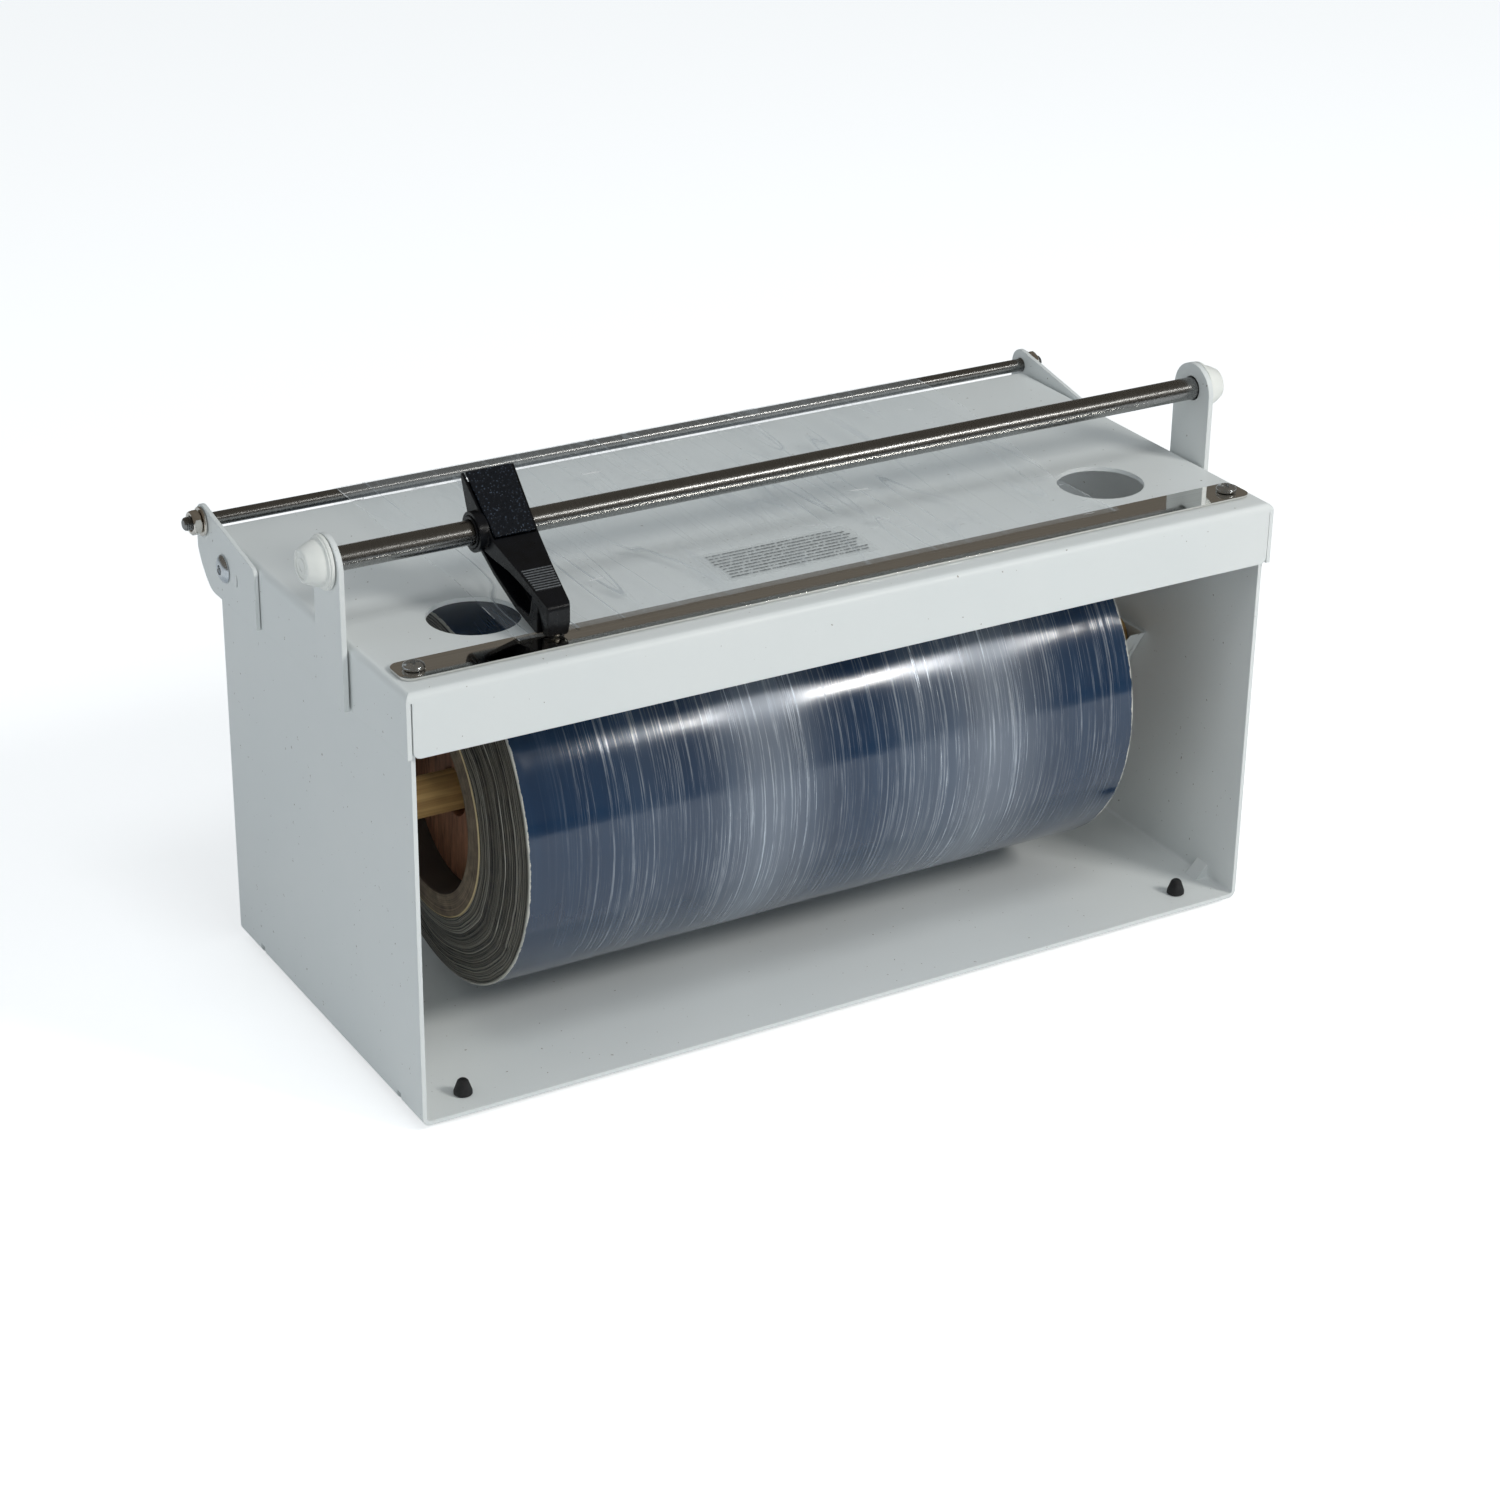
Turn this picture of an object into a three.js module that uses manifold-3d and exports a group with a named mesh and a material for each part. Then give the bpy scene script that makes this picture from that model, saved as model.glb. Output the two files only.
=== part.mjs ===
// Cling film dispenser: a bent sheet-steel housing that carries a roll of film on a wooden shaft,
// with a guide rod behind, a cutting strip in front and a cutter that slides on a round rail.
//
// Units are millimetres. +X is to the right, +Y is to the back and +Z is up.
// The origin is at the centre of the bounding box's footprint, on the surface the feet stand on.

import * as THREE from 'three';
import { mergeVertices } from 'three/addons/utils/BufferGeometryUtils.js';
import Module from 'manifold-3d';

const wasm = await Module();
wasm.setup();

// ---------------------------------------------------------------- driving dimensions

const GAP = 0.3; // clearance between pieces that touch

// Housing
const SHEET = 2; // thickness of the housing's steel sheet
const BODY_WIDTH = 412;
const BODY_DEPTH = 190;
const BODY_HEIGHT = 195; // underside of the floor to the top of the deck
const SKIRT_HEIGHT = 28; // height of the cover's front and side flanges
const CORNER_SLITS = { left: 0.6, right: 0.2 }; // between the front flange and each side flange
const FOOT_HEIGHT = 3; // how far the rubber feet hold the floor up
const FRONT_Y = -100.2; // front edge of the side walls
const BEND_INSIDE = 1.6; // inside radius of the sheet's bends
const GUSSET_SIZE = 7; // leg of the triangular gusset pressed into a bottom bend
const GUSSET_HALF_WIDTH = 4;
const GUSSET_BACKS = [23, 164.5];
const FOOT_X = 181.6;
const FOOT_INSET = 13; // from the front and back edges
const FOOT_RADIUS = 6;
const FOOT_STEM_RADIUS = 3;

// Finger holes in the deck
const FINGER_HOLE_RADIUS = 19.4;
const FINGER_HOLE_XS = { left: -152, right: 155.2 };
const FINGER_HOLE_BACK = 53.9; // centre of the hole, measured back from FRONT_Y

// Cutting strip and its screws
const STRIP_LENGTH = 408;
const STRIP_WIDTH = 17;
const STRIP_THICKNESS = 1;
const STRIP_CORNER = 5; // radius of the strip's rounded corners
const STRIP_BACK = 16.5;
const STRIP_SCREW_X = 196;
const STRIP_SCREW_HEAD = 4.5; // radius
const STRIP_SCREW_SHANK = 2.4; // radius
const STRIP_SCREW_HOLE = 2.8; // radius

// Cutter rail, the ears that carry it and its end caps
const RAIL_RADIUS = 5;
const RAIL_BACK = 62.5;
const RAIL_ABOVE_DECK = 32.3;
const EAR_WIDTH = 25.5;
const EAR_THICKNESS = 2.5;
const EAR_STANDOFF = 0.8; // air between the ear and the cover's flange
const EAR_ARC_BELOW_RAIL = 1.4; // centre of the round top below the rail's axis
const RAIL_HOLE_RADIUS = 5.5;
const CAP_RADIUS = 11.3;
const CAP_CONE_RADIUS = 9.7; // where the cone meets the flange
const CAP_TIP_RADIUS = 7;
const CAP_LENGTH = 10;

// Guide rod behind the deck and the brackets that carry it
const GUIDE_RADIUS = 3;
const GUIDE_BACK = 195.2;
const GUIDE_ABOVE_DECK = 2;
const BRACKET_EYE_RADIUS = 7.4;
const BRACKET_REAR = 7.5; // bracket's furthest reach behind the guide rod's axis
const BRACKET_FRONT = 140.5;
const BRACKET_SCREW_BACK = 173.4;
const BRACKET_SCREW_BELOW_DECK = 12;
const BRACKET_SCREW_HEAD = 6.2; // radius
const BRACKET_SCREW_SHANK = 3; // radius
const BRACKET_SCREW_HOLE = 3.4; // radius
const BRACKET_SLOT_BACK = 159.6; // small crescent slot beside the screw
const BRACKET_SLOT_BELOW_DECK = 12.8;

// Film roll, its core, the plugs in the core and the shaft
const ROLL_LENGTH = 300;
const ROLL_RADIUS = 83;
const ROLL_END_RISE = 7; // how far the windings next to the core stand out past the outermost ones
const CORE_INNER_RADIUS = 41.2;
const CORE_OUTER_RADIUS = 51.8;
const CORE_LENGTH = 315;
const PLUG_THICKNESS = 18;
const PLUG_RECESS = 14;
const SHAFT_RADIUS = 9;
const SHAFT_CLEARANCE = 1.6; // plug hole radius less shaft radius
const SHAFT_BACK = 95;
const SHAFT_ABOVE_FLOOR = 97.5;
const SHAFT_END_CLEARANCE = 3.1; // between a shaft end and the side wall
const CRADLE_LENGTH = 9; // how far a cradle reaches in from the wall
const CRADLE_HORN_TOP = 6.4; // above the shaft's axis
const CRADLE_PLATE_HALF_WIDTH = 17;

// Cutter
const CUTTER_X = -134; // where it rests on the rail
const BUSH_RADIUS = 6.6;
const BUSH_BORE = 5.3;
const BOSS_RADIUS = 8.4;
const BOSS_LEFT = -14; // the boss stands out on the left side only
const BOSS_RIGHT = 9.5;
const BUSH_PROUD = 0.5; // how far the bush stands out of each end of the boss

// Film web and label
const FILM_THICKNESS = 0.5;
const WEB_WIDTH = 298;
const WEB_END_BACK = 19.5; // cut edge of the film, measured back from FRONT_Y
const LABEL_WIDTH = 74;
const LABEL_DEPTH = 30;
const LABEL_THICKNESS = 0.2;
const LABEL_BACK = 49.5;
const LABEL_X = -8;

// ---------------------------------------------------------------- derived places

const HALF_BODY = BODY_WIDTH / 2;
const BACK_Y = FRONT_Y + BODY_DEPTH;
const FLOOR_BOTTOM = FOOT_HEIGHT;
const FLOOR_TOP = FLOOR_BOTTOM + SHEET;
const DECK_TOP = FLOOR_BOTTOM + BODY_HEIGHT;
const DECK_BOTTOM = DECK_TOP - SHEET;
const SKIRT_BOTTOM = DECK_TOP - SKIRT_HEIGHT;
const WALL_TOP = DECK_BOTTOM - BEND_INSIDE - GAP;
const COVER_INNER = HALF_BODY + GAP;
const COVER_OUTER = COVER_INNER + SHEET;
const PLATE_INNER = COVER_OUTER + GAP; // the guide brackets lie on the cover's flanges
const PLATE_OUTER = PLATE_INNER + SHEET;
const EAR_INNER = COVER_OUTER + EAR_STANDOFF;
const EAR_OUTER = EAR_INNER + EAR_THICKNESS;
const WALL_INNER = HALF_BODY - SHEET;
const BEND_OUTSIDE = BEND_INSIDE + SHEET;

const RAIL_Y = FRONT_Y + RAIL_BACK;
const RAIL_Z = DECK_TOP + RAIL_ABOVE_DECK;
const GUIDE_Y = FRONT_Y + GUIDE_BACK;
const GUIDE_Z = DECK_TOP + GUIDE_ABOVE_DECK;
const SHAFT_Y = FRONT_Y + SHAFT_BACK;
const SHAFT_Z = FLOOR_BOTTOM + SHAFT_ABOVE_FLOOR;
const ROLL_Z = SHAFT_Z - (SHAFT_CLEARANCE - GAP); // the plugs hang on the shaft
const STRIP_Y = FRONT_Y + STRIP_BACK;
const STRIP_BOTTOM = DECK_TOP + GAP;
const STRIP_TOP = STRIP_BOTTOM + STRIP_THICKNESS;
const BRACKET_SCREW_Y = FRONT_Y + BRACKET_SCREW_BACK;
const BRACKET_SCREW_Z = DECK_TOP - BRACKET_SCREW_BELOW_DECK;

const FOOT_YS = [FRONT_Y + FOOT_INSET, BACK_Y - FOOT_INSET];
const GUSSET_YS = GUSSET_BACKS.map((back) => FRONT_Y + back);

// ---------------------------------------------------------------- materials

const finish = (color, roughness, metalness) => () =>
  new THREE.MeshStandardMaterial({ color, roughness, metalness });

const whitePaint = finish(0xd8ddd8, 0.45, 0);
const whitePlastic = finish(0xdfe3dd, 0.4, 0);
const blackPlastic = finish(0x16181b, 0.55, 0);
const blackRubber = finish(0x141414, 0.8, 0);
const brushedSteel = finish(0xa9a7a2, 0.3, 1);
const mirrorSteel = finish(0xb9b7b0, 0.08, 1);
const zincPlate = finish(0xb4b8bc, 0.25, 1);
const filmBlue = finish(0x3d5c80, 0.2, 0);
const filmClear = finish(0xdfe8ec, 0.1, 0);
const cardboard = finish(0x8d7358, 0.9, 0);
const plugWood = finish(0x8a5a40, 0.8, 0);
const dowelWood = finish(0xc89d62, 0.7, 0);
const labelPaper = finish(0xe6e8e6, 0.5, 0);

// ---------------------------------------------------------------- solids

// A closed solid from a geometry: shared vertices are merged, collapsed triangles are left out and
// the faces are turned outwards.
function solidFrom(geometry) {
  const bare = geometry.clone();
  bare.deleteAttribute('normal');
  bare.deleteAttribute('uv');
  const merged = mergeVertices(bare, 1e-4);
  const at = merged.attributes.position;
  const index = merged.index.array;
  const triangles = [];
  const [a, b, c] = [new THREE.Vector3(), new THREE.Vector3(), new THREE.Vector3()];
  let volume = 0;
  for (let i = 0; i < index.length; i += 3) {
    const [p, q, r] = [index[i], index[i + 1], index[i + 2]];
    if (p === q || q === r || r === p) continue;
    triangles.push([p, q, r]);
    a.fromBufferAttribute(at, p);
    b.fromBufferAttribute(at, q);
    c.fromBufferAttribute(at, r);
    volume += a.dot(b.cross(c));
  }
  if (volume < 0) triangles.forEach((triangle) => triangle.reverse());
  return new wasm.Manifold(new wasm.Mesh({
    numProp: 3,
    vertProperties: new Float32Array(at.array),
    triVerts: new Uint32Array(triangles.flat()),
  }));
}

function geometryFrom(solid) {
  const mesh = solid.getMesh();
  const geometry = new THREE.BufferGeometry();
  geometry.setAttribute('position', new THREE.BufferAttribute(new Float32Array(mesh.vertProperties), 3));
  geometry.setIndex(new THREE.BufferAttribute(new Uint32Array(mesh.triVerts), 1));
  geometry.computeVertexNormals();
  return geometry;
}

const join = (solids) => solids.reduce((whole, solid) => whole.add(solid));
const cut = (whole, tools) => tools.reduce((rest, tool) => rest.subtract(tool), whole);

// Extrusions: a shape drawn in (y, z) runs along X, one drawn in (x, z) along Y, one in (x, y) along Z.
function extrude(shape, depth, curveSegments = 6) {
  return new THREE.ExtrudeGeometry(shape, { depth, bevelEnabled: false, curveSegments });
}

function alongX(shape, from, to, curveSegments) {
  const turn = new THREE.Matrix4().makeBasis(
    new THREE.Vector3(0, 1, 0), new THREE.Vector3(0, 0, 1), new THREE.Vector3(1, 0, 0));
  return solidFrom(extrude(shape, to - from, curveSegments).applyMatrix4(turn).translate(from, 0, 0));
}

function alongY(shape, from, to, curveSegments) {
  const turn = new THREE.Matrix4().makeBasis(
    new THREE.Vector3(1, 0, 0), new THREE.Vector3(0, 0, 1), new THREE.Vector3(0, -1, 0));
  return solidFrom(extrude(shape, to - from, curveSegments).applyMatrix4(turn).translate(0, to, 0));
}

function alongZ(shape, from, to, curveSegments) {
  return solidFrom(extrude(shape, to - from, curveSegments).translate(0, 0, from));
}

function polygon(points) {
  return new THREE.Shape(points.map(([u, v]) => new THREE.Vector2(u, v)));
}

function circle(u, v, radius) {
  const shape = new THREE.Shape();
  shape.absarc(u, v, radius, 0, 2 * Math.PI, false);
  return shape;
}

function box(from, to) {
  const size = to.map((high, i) => high - from[i]);
  const middle = to.map((high, i) => (high + from[i]) / 2);
  return solidFrom(new THREE.BoxGeometry(...size).translate(...middle));
}

// A body turned about the X axis, from a profile of [x, radius] points.
function turnedX(profile, segments = 24) {
  const points = profile.map(([x, radius]) => new THREE.Vector2(radius, x));
  return solidFrom(new THREE.LatheGeometry(points, segments).rotateZ(-Math.PI / 2));
}

// A body turned about the Z axis, from a profile of [z, radius] points.
function turnedZ(profile, segments = 24) {
  const points = profile.map(([z, radius]) => new THREE.Vector2(radius, z));
  return solidFrom(new THREE.LatheGeometry(points, segments).rotateX(Math.PI / 2));
}

function ringX(from, to, inner, outer, segments) {
  return turnedX([[from, inner], [to, inner], [to, outer], [from, outer], [from, inner]], segments);
}

function rodX(from, to, radius, segments) {
  return turnedX([[from, 0], [from, radius], [to, radius], [to, 0]], segments);
}

function hexagon(u, v, acrossFlats) {
  const radius = acrossFlats / Math.sqrt(3);
  const corners = [0, 1, 2, 3, 4, 5].map((i) => (i * Math.PI) / 3);
  return polygon(corners.map((t) => [u + radius * Math.cos(t), v + radius * Math.sin(t)]));
}

// ---------------------------------------------------------------- assembly helpers

const dispenser = new THREE.Group();

function group(x, y, z) {
  const nested = new THREE.Group();
  nested.position.set(x, y, z);
  dispenser.add(nested);
  return nested;
}

function add(parent, name, solid, material) {
  const mesh = new THREE.Mesh(geometryFrom(solid), material());
  mesh.name = name;
  parent.add(mesh);
  return mesh;
}

const SIDES = [['left', -1], ['right', 1]];

// ---------------------------------------------------------------- housing

// The base is one sheet bent into a U: floor and side walls, with pressed gussets across the bends.
function baseShell() {
  const outline = new THREE.Shape();
  const [r, s] = [BEND_OUTSIDE, BEND_INSIDE];
  outline.moveTo(-HALF_BODY, WALL_TOP);
  outline.lineTo(-HALF_BODY, FLOOR_BOTTOM + r);
  outline.absarc(-HALF_BODY + r, FLOOR_BOTTOM + r, r, Math.PI, 1.5 * Math.PI, false);
  outline.lineTo(HALF_BODY - r, FLOOR_BOTTOM);
  outline.absarc(HALF_BODY - r, FLOOR_BOTTOM + r, r, 1.5 * Math.PI, 2 * Math.PI, false);
  outline.lineTo(HALF_BODY, WALL_TOP);
  outline.lineTo(WALL_INNER, WALL_TOP);
  outline.lineTo(WALL_INNER, FLOOR_TOP + s);
  outline.absarc(WALL_INNER - s, FLOOR_TOP + s, s, 0, -0.5 * Math.PI, true);
  outline.lineTo(-WALL_INNER + s, FLOOR_TOP);
  outline.absarc(-WALL_INNER + s, FLOOR_TOP + s, s, -0.5 * Math.PI, -Math.PI, true);
  outline.lineTo(-WALL_INNER, WALL_TOP);
  const shell = alongY(outline, FRONT_Y, BACK_Y);

  const ridges = [];
  const notches = [];
  for (const [, side] of SIDES) {
    for (const y of GUSSET_YS) {
      const ridge = polygon([
        [side * (WALL_INNER + 0.5), FLOOR_TOP + GUSSET_SIZE],
        [side * (WALL_INNER + 0.5), FLOOR_TOP - 0.5],
        [side * (WALL_INNER - GUSSET_SIZE), FLOOR_TOP - 0.5],
      ]);
      const notch = polygon([
        [side * (HALF_BODY + 1), FLOOR_BOTTOM + GUSSET_SIZE - 1],
        [side * (HALF_BODY + 1), FLOOR_BOTTOM - 1],
        [side * (HALF_BODY - GUSSET_SIZE + 1), FLOOR_BOTTOM - 1],
      ]);
      ridges.push(alongY(ridge, y - GUSSET_HALF_WIDTH, y + GUSSET_HALF_WIDTH));
      notches.push(alongY(notch, y - GUSSET_HALF_WIDTH / 2, y + GUSSET_HALF_WIDTH / 2));
    }
  }
  const footHole = FOOT_STEM_RADIUS + GAP;
  const footHoles = [-FOOT_X, FOOT_X].flatMap((x) =>
    FOOT_YS.map((y) => alongZ(circle(x, y, footHole), FLOOR_BOTTOM - 1, FLOOR_TOP + 1)));
  const screwHole = circle(BRACKET_SCREW_Y, BRACKET_SCREW_Z, BRACKET_SCREW_HOLE);
  const screwHoles = alongX(screwHole, -HALF_BODY - 1, HALF_BODY + 1);
  return cut(join([shell, ...ridges]), [...notches, ...footHoles, screwHoles]);
}

// The outside or the inside of the cover, as a solid block with its upper edges rounded.
function coverBlock(halfWidth, front, back, bottom, top, radius) {
  const frontView = new THREE.Shape();
  frontView.moveTo(-halfWidth, bottom);
  frontView.lineTo(halfWidth, bottom);
  frontView.lineTo(halfWidth, top - radius);
  frontView.absarc(halfWidth - radius, top - radius, radius, 0, 0.5 * Math.PI, false);
  frontView.lineTo(-halfWidth + radius, top);
  frontView.absarc(-halfWidth + radius, top - radius, radius, 0.5 * Math.PI, Math.PI, false);
  const sideView = new THREE.Shape();
  sideView.moveTo(front, bottom);
  sideView.lineTo(back, bottom);
  sideView.lineTo(back, top);
  sideView.lineTo(front + radius, top);
  sideView.absarc(front + radius, top - radius, radius, 0.5 * Math.PI, Math.PI, false);
  return alongY(frontView, front, back, 5).intersect(alongX(sideView, -halfWidth, halfWidth, 5));
}

// The cover is the deck with a front flange and two side flanges, slit at the front corners.
function topCover() {
  const front = FRONT_Y - GAP;
  const outside = coverBlock(COVER_OUTER, front - SHEET, BACK_Y, SKIRT_BOTTOM, DECK_TOP, BEND_OUTSIDE);
  const inside = coverBlock(COVER_INNER, front, BACK_Y + 5, SKIRT_BOTTOM - 5, DECK_BOTTOM, BEND_INSIDE);
  const cornerRadius = 3;
  const tools = [inside];
  for (const [name, side] of SIDES) {
    const slitWidth = CORNER_SLITS[name];
    const flangeEnd = COVER_INNER - slitWidth;
    const slitMiddle = side * (flangeEnd + slitWidth / 2);
    tools.push(box(
      [slitMiddle - slitWidth / 2, front - SHEET - 1, SKIRT_BOTTOM - 1],
      [slitMiddle + slitWidth / 2, front + 0.1, DECK_TOP - BEND_OUTSIDE - 0.5]));
    const cornerX = side * (flangeEnd - cornerRadius);
    const cornerZ = SKIRT_BOTTOM + cornerRadius;
    const block = box(
      [Math.min(cornerX, side * flangeEnd), front - SHEET - 1, SKIRT_BOTTOM - 1],
      [Math.max(cornerX, side * flangeEnd), front + 0.1, cornerZ]);
    const post = alongY(circle(cornerX, cornerZ, cornerRadius), front - SHEET - 2, front + 1);
    tools.push(block.subtract(post));
    const holeY = FRONT_Y + FINGER_HOLE_BACK;
    const fingerHole = circle(FINGER_HOLE_XS[name], holeY, FINGER_HOLE_RADIUS);
    tools.push(alongZ(fingerHole, DECK_BOTTOM - 1, DECK_TOP + 1, 18));
    const stripHole = circle(side * STRIP_SCREW_X, STRIP_Y, STRIP_SCREW_HOLE);
    tools.push(alongZ(stripHole, DECK_BOTTOM - 1, DECK_TOP + 1));
  }
  const screwHole = circle(BRACKET_SCREW_Y, BRACKET_SCREW_Z, BRACKET_SCREW_HOLE);
  tools.push(alongX(screwHole, -COVER_OUTER - 1, COVER_OUTER + 1));
  return cut(outside, tools);
}

// A plate on the left or the right side, between two distances from the middle.
function plateAtSide(outline, side, inner, outer, curveSegments) {
  const [from, to] = side < 0 ? [-outer, -inner] : [inner, outer];
  return alongX(outline, from, to, curveSegments);
}

// An ear is a flat plate with a round top beside the side flange, that carries the rail.
function railEar(side) {
  const half = EAR_WIDTH / 2;
  const arcZ = RAIL_Z - EAR_ARC_BELOW_RAIL;
  const outline = new THREE.Shape();
  outline.moveTo(RAIL_Y - half, SKIRT_BOTTOM);
  outline.lineTo(RAIL_Y + half, SKIRT_BOTTOM);
  outline.lineTo(RAIL_Y + half, arcZ);
  outline.absarc(RAIL_Y, arcZ, half, 0, Math.PI, false);
  const hole = new THREE.Path();
  hole.absarc(RAIL_Y, RAIL_Z, RAIL_HOLE_RADIUS, 0, 2 * Math.PI, false);
  outline.holes.push(hole);
  return plateAtSide(outline, side, EAR_INNER, EAR_OUTER, 12);
}

// A bracket reaches back past the housing to hold the guide rod, and a screw holds it to the cover.
function guideBracket(side) {
  const front = FRONT_Y + BRACKET_FRONT;
  const corner = 4;
  const toeY = GUIDE_Y - 8;
  const outline = new THREE.Shape();
  outline.moveTo(front, SKIRT_BOTTOM);
  outline.lineTo(toeY - 2, SKIRT_BOTTOM);
  outline.quadraticCurveTo(toeY + 3, SKIRT_BOTTOM, toeY + 6, SKIRT_BOTTOM + 3);
  outline.quadraticCurveTo(GUIDE_Y + 5, SKIRT_BOTTOM + 9, GUIDE_Y + BRACKET_REAR, SKIRT_BOTTOM + 16);
  outline.lineTo(GUIDE_Y + BRACKET_EYE_RADIUS, GUIDE_Z);
  outline.absarc(GUIDE_Y, GUIDE_Z, BRACKET_EYE_RADIUS, 0, 0.53 * Math.PI, false);
  outline.lineTo(front + corner, DECK_TOP);
  outline.quadraticCurveTo(front, DECK_TOP - 0.5, front, DECK_TOP - corner);
  const plate = plateAtSide(outline, side, PLATE_INNER, PLATE_OUTER, 8);
  const through = [-PLATE_OUTER - 1, PLATE_OUTER + 1];
  const slot = polygon([
    [0.6, -3], [-0.3, -1.6], [-0.5, 0], [-0.3, 1.6], [0.6, 3], [0.9, 2.4], [0.5, 0], [0.9, -2.4],
  ]);
  const slotY = FRONT_Y + BRACKET_SLOT_BACK;
  const slotZ = DECK_TOP - BRACKET_SLOT_BELOW_DECK;
  return cut(plate, [
    alongX(circle(GUIDE_Y, GUIDE_Z, GUIDE_RADIUS + GAP), ...through),
    alongX(circle(BRACKET_SCREW_Y, BRACKET_SCREW_Z, BRACKET_SCREW_HOLE), ...through),
    alongX(slot, ...through).translate([0, slotY, slotZ]),
  ]);
}

// A button-head screw through bracket, flange and wall. Its axis is the X axis.
function bracketScrew(side) {
  const face = PLATE_OUTER + GAP;
  const head = BRACKET_SCREW_HEAD;
  const shank = BRACKET_SCREW_SHANK;
  const profile = [
    [HALF_BODY - 8, 0], [HALF_BODY - 8, shank], [face, shank], [face, head], [face + 0.5, head],
    [face + 1.4, head * 0.82], [face + 2.1, head * 0.45], [face + 2.2, 0],
  ].map(([x, radius]) => [side * x, radius]);
  const socket = alongX(hexagon(0, 0, 3.6), face + 1.1, face + 4);
  const screw = turnedX(profile);
  return side < 0 ? screw.subtract(socket.rotate([0, 0, 180])) : screw.subtract(socket);
}

function nutX(side, face, acrossFlats, thickness, bore) {
  const nut = alongX(hexagon(0, 0, acrossFlats), 0, thickness);
  const hole = rodX(-1, thickness + 1, bore, 20);
  const place = side < 0 ? -face - thickness : face;
  return nut.subtract(hole).translate([place, 0, 0]);
}

// A push-in foot: a pad under the floor, a stem through it and a barbed tip that stands up inside.
function rubberFoot() {
  const pad = FOOT_RADIUS;
  const stem = FOOT_STEM_RADIUS;
  return turnedZ([
    [0, 0], [0, pad - 0.8], [0.6, pad], [FLOOR_BOTTOM - GAP, pad], [FLOOR_BOTTOM - GAP, stem],
    [FLOOR_TOP + GAP, stem], [FLOOR_TOP + GAP, stem + 1], [FLOOR_TOP + 1.6, stem + 1],
    [FLOOR_TOP + 6.2, stem - 0.6], [FLOOR_TOP + 7, stem - 1.4], [FLOOR_TOP + 7, 0],
  ]);
}

const housing = group(0, 0, 0);
add(housing, 'base_shell', baseShell(), whitePaint);
add(housing, 'top_cover', topCover(), whitePaint);
for (const [name, side] of SIDES) {
  add(housing, `rail_ear_${name}`, railEar(side), whitePaint);
  add(housing, `guide_bracket_${name}`, guideBracket(side), whitePaint);
  add(housing, `bracket_screw_${name}`, bracketScrew(side), zincPlate)
    .position.set(0, BRACKET_SCREW_Y, BRACKET_SCREW_Z);
  const nutFace = -WALL_INNER + GAP;
  add(housing, `bracket_nut_${name}`, nutX(-side, nutFace, 10, 4.5, 3.3), zincPlate)
    .position.set(0, BRACKET_SCREW_Y, BRACKET_SCREW_Z);
  for (const [row, y] of [['front', FOOT_YS[0]], ['rear', FOOT_YS[1]]]) {
    add(housing, `rubber_foot_${row}_${name}`, rubberFoot(), blackRubber).position.set(side * FOOT_X, y, 0);
  }
}

// ---------------------------------------------------------------- cutting strip

// A polished strip with rounded corners, held down by a pan-head screw and a nut at each end.
function cuttingStrip() {
  const [endX, edgeY] = [STRIP_LENGTH / 2 - STRIP_CORNER, STRIP_WIDTH / 2 - STRIP_CORNER];
  const outline = new THREE.Shape();
  outline.absarc(endX, -edgeY, STRIP_CORNER, -0.5 * Math.PI, 0, false);
  outline.absarc(endX, edgeY, STRIP_CORNER, 0, 0.5 * Math.PI, false);
  outline.absarc(-endX, edgeY, STRIP_CORNER, 0.5 * Math.PI, Math.PI, false);
  outline.absarc(-endX, -edgeY, STRIP_CORNER, Math.PI, 1.5 * Math.PI, false);
  for (const [, side] of SIDES) {
    const hole = new THREE.Path();
    hole.absarc(side * STRIP_SCREW_X, 0, STRIP_SCREW_HOLE, 0, 2 * Math.PI, false);
    outline.holes.push(hole);
  }
  return alongZ(outline, 0, STRIP_THICKNESS, 10);
}

function stripScrew() {
  const face = STRIP_TOP - DECK_TOP + GAP;
  const head = STRIP_SCREW_HEAD;
  const end = -SHEET - 6;
  const screw = turnedZ([
    [end, 0], [end, STRIP_SCREW_SHANK], [face, STRIP_SCREW_SHANK], [face, head],
    [face + 1.4, head], [face + 2.3, head * 0.8], [face + 2.7, head * 0.4], [face + 2.8, 0],
  ]);
  const wide = 0.6;
  const long = 2.6;
  const cross = [
    box([-long, -wide, face + 1.2], [long, wide, face + 4]),
    box([-wide, -long, face + 1.2], [wide, long, face + 4]),
  ];
  return cut(screw, cross);
}

function stripNut() {
  const nut = alongZ(hexagon(0, 0, 8), -4, 0);
  return nut.subtract(alongZ(circle(0, 0, STRIP_SCREW_SHANK + GAP), -5, 1));
}

const strip = group(0, STRIP_Y, DECK_TOP);
add(strip, 'cutting_strip', cuttingStrip(), mirrorSteel).position.z = GAP;
for (const [name, side] of SIDES) {
  add(strip, `strip_screw_${name}`, stripScrew(), zincPlate).position.x = side * STRIP_SCREW_X;
  add(strip, `strip_nut_${name}`, stripNut(), zincPlate)
    .position.set(side * STRIP_SCREW_X, 0, -SHEET - GAP);
}

// ---------------------------------------------------------------- guide rod

const WASHER_THICKNESS = 1.2;
const GUIDE_NUT_THICKNESS = 4;
const washerFace = PLATE_OUTER + GAP;
const guideNutFace = washerFace + WASHER_THICKNESS + GAP;
const guideEnd = guideNutFace + GUIDE_NUT_THICKNESS + 3;

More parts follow.
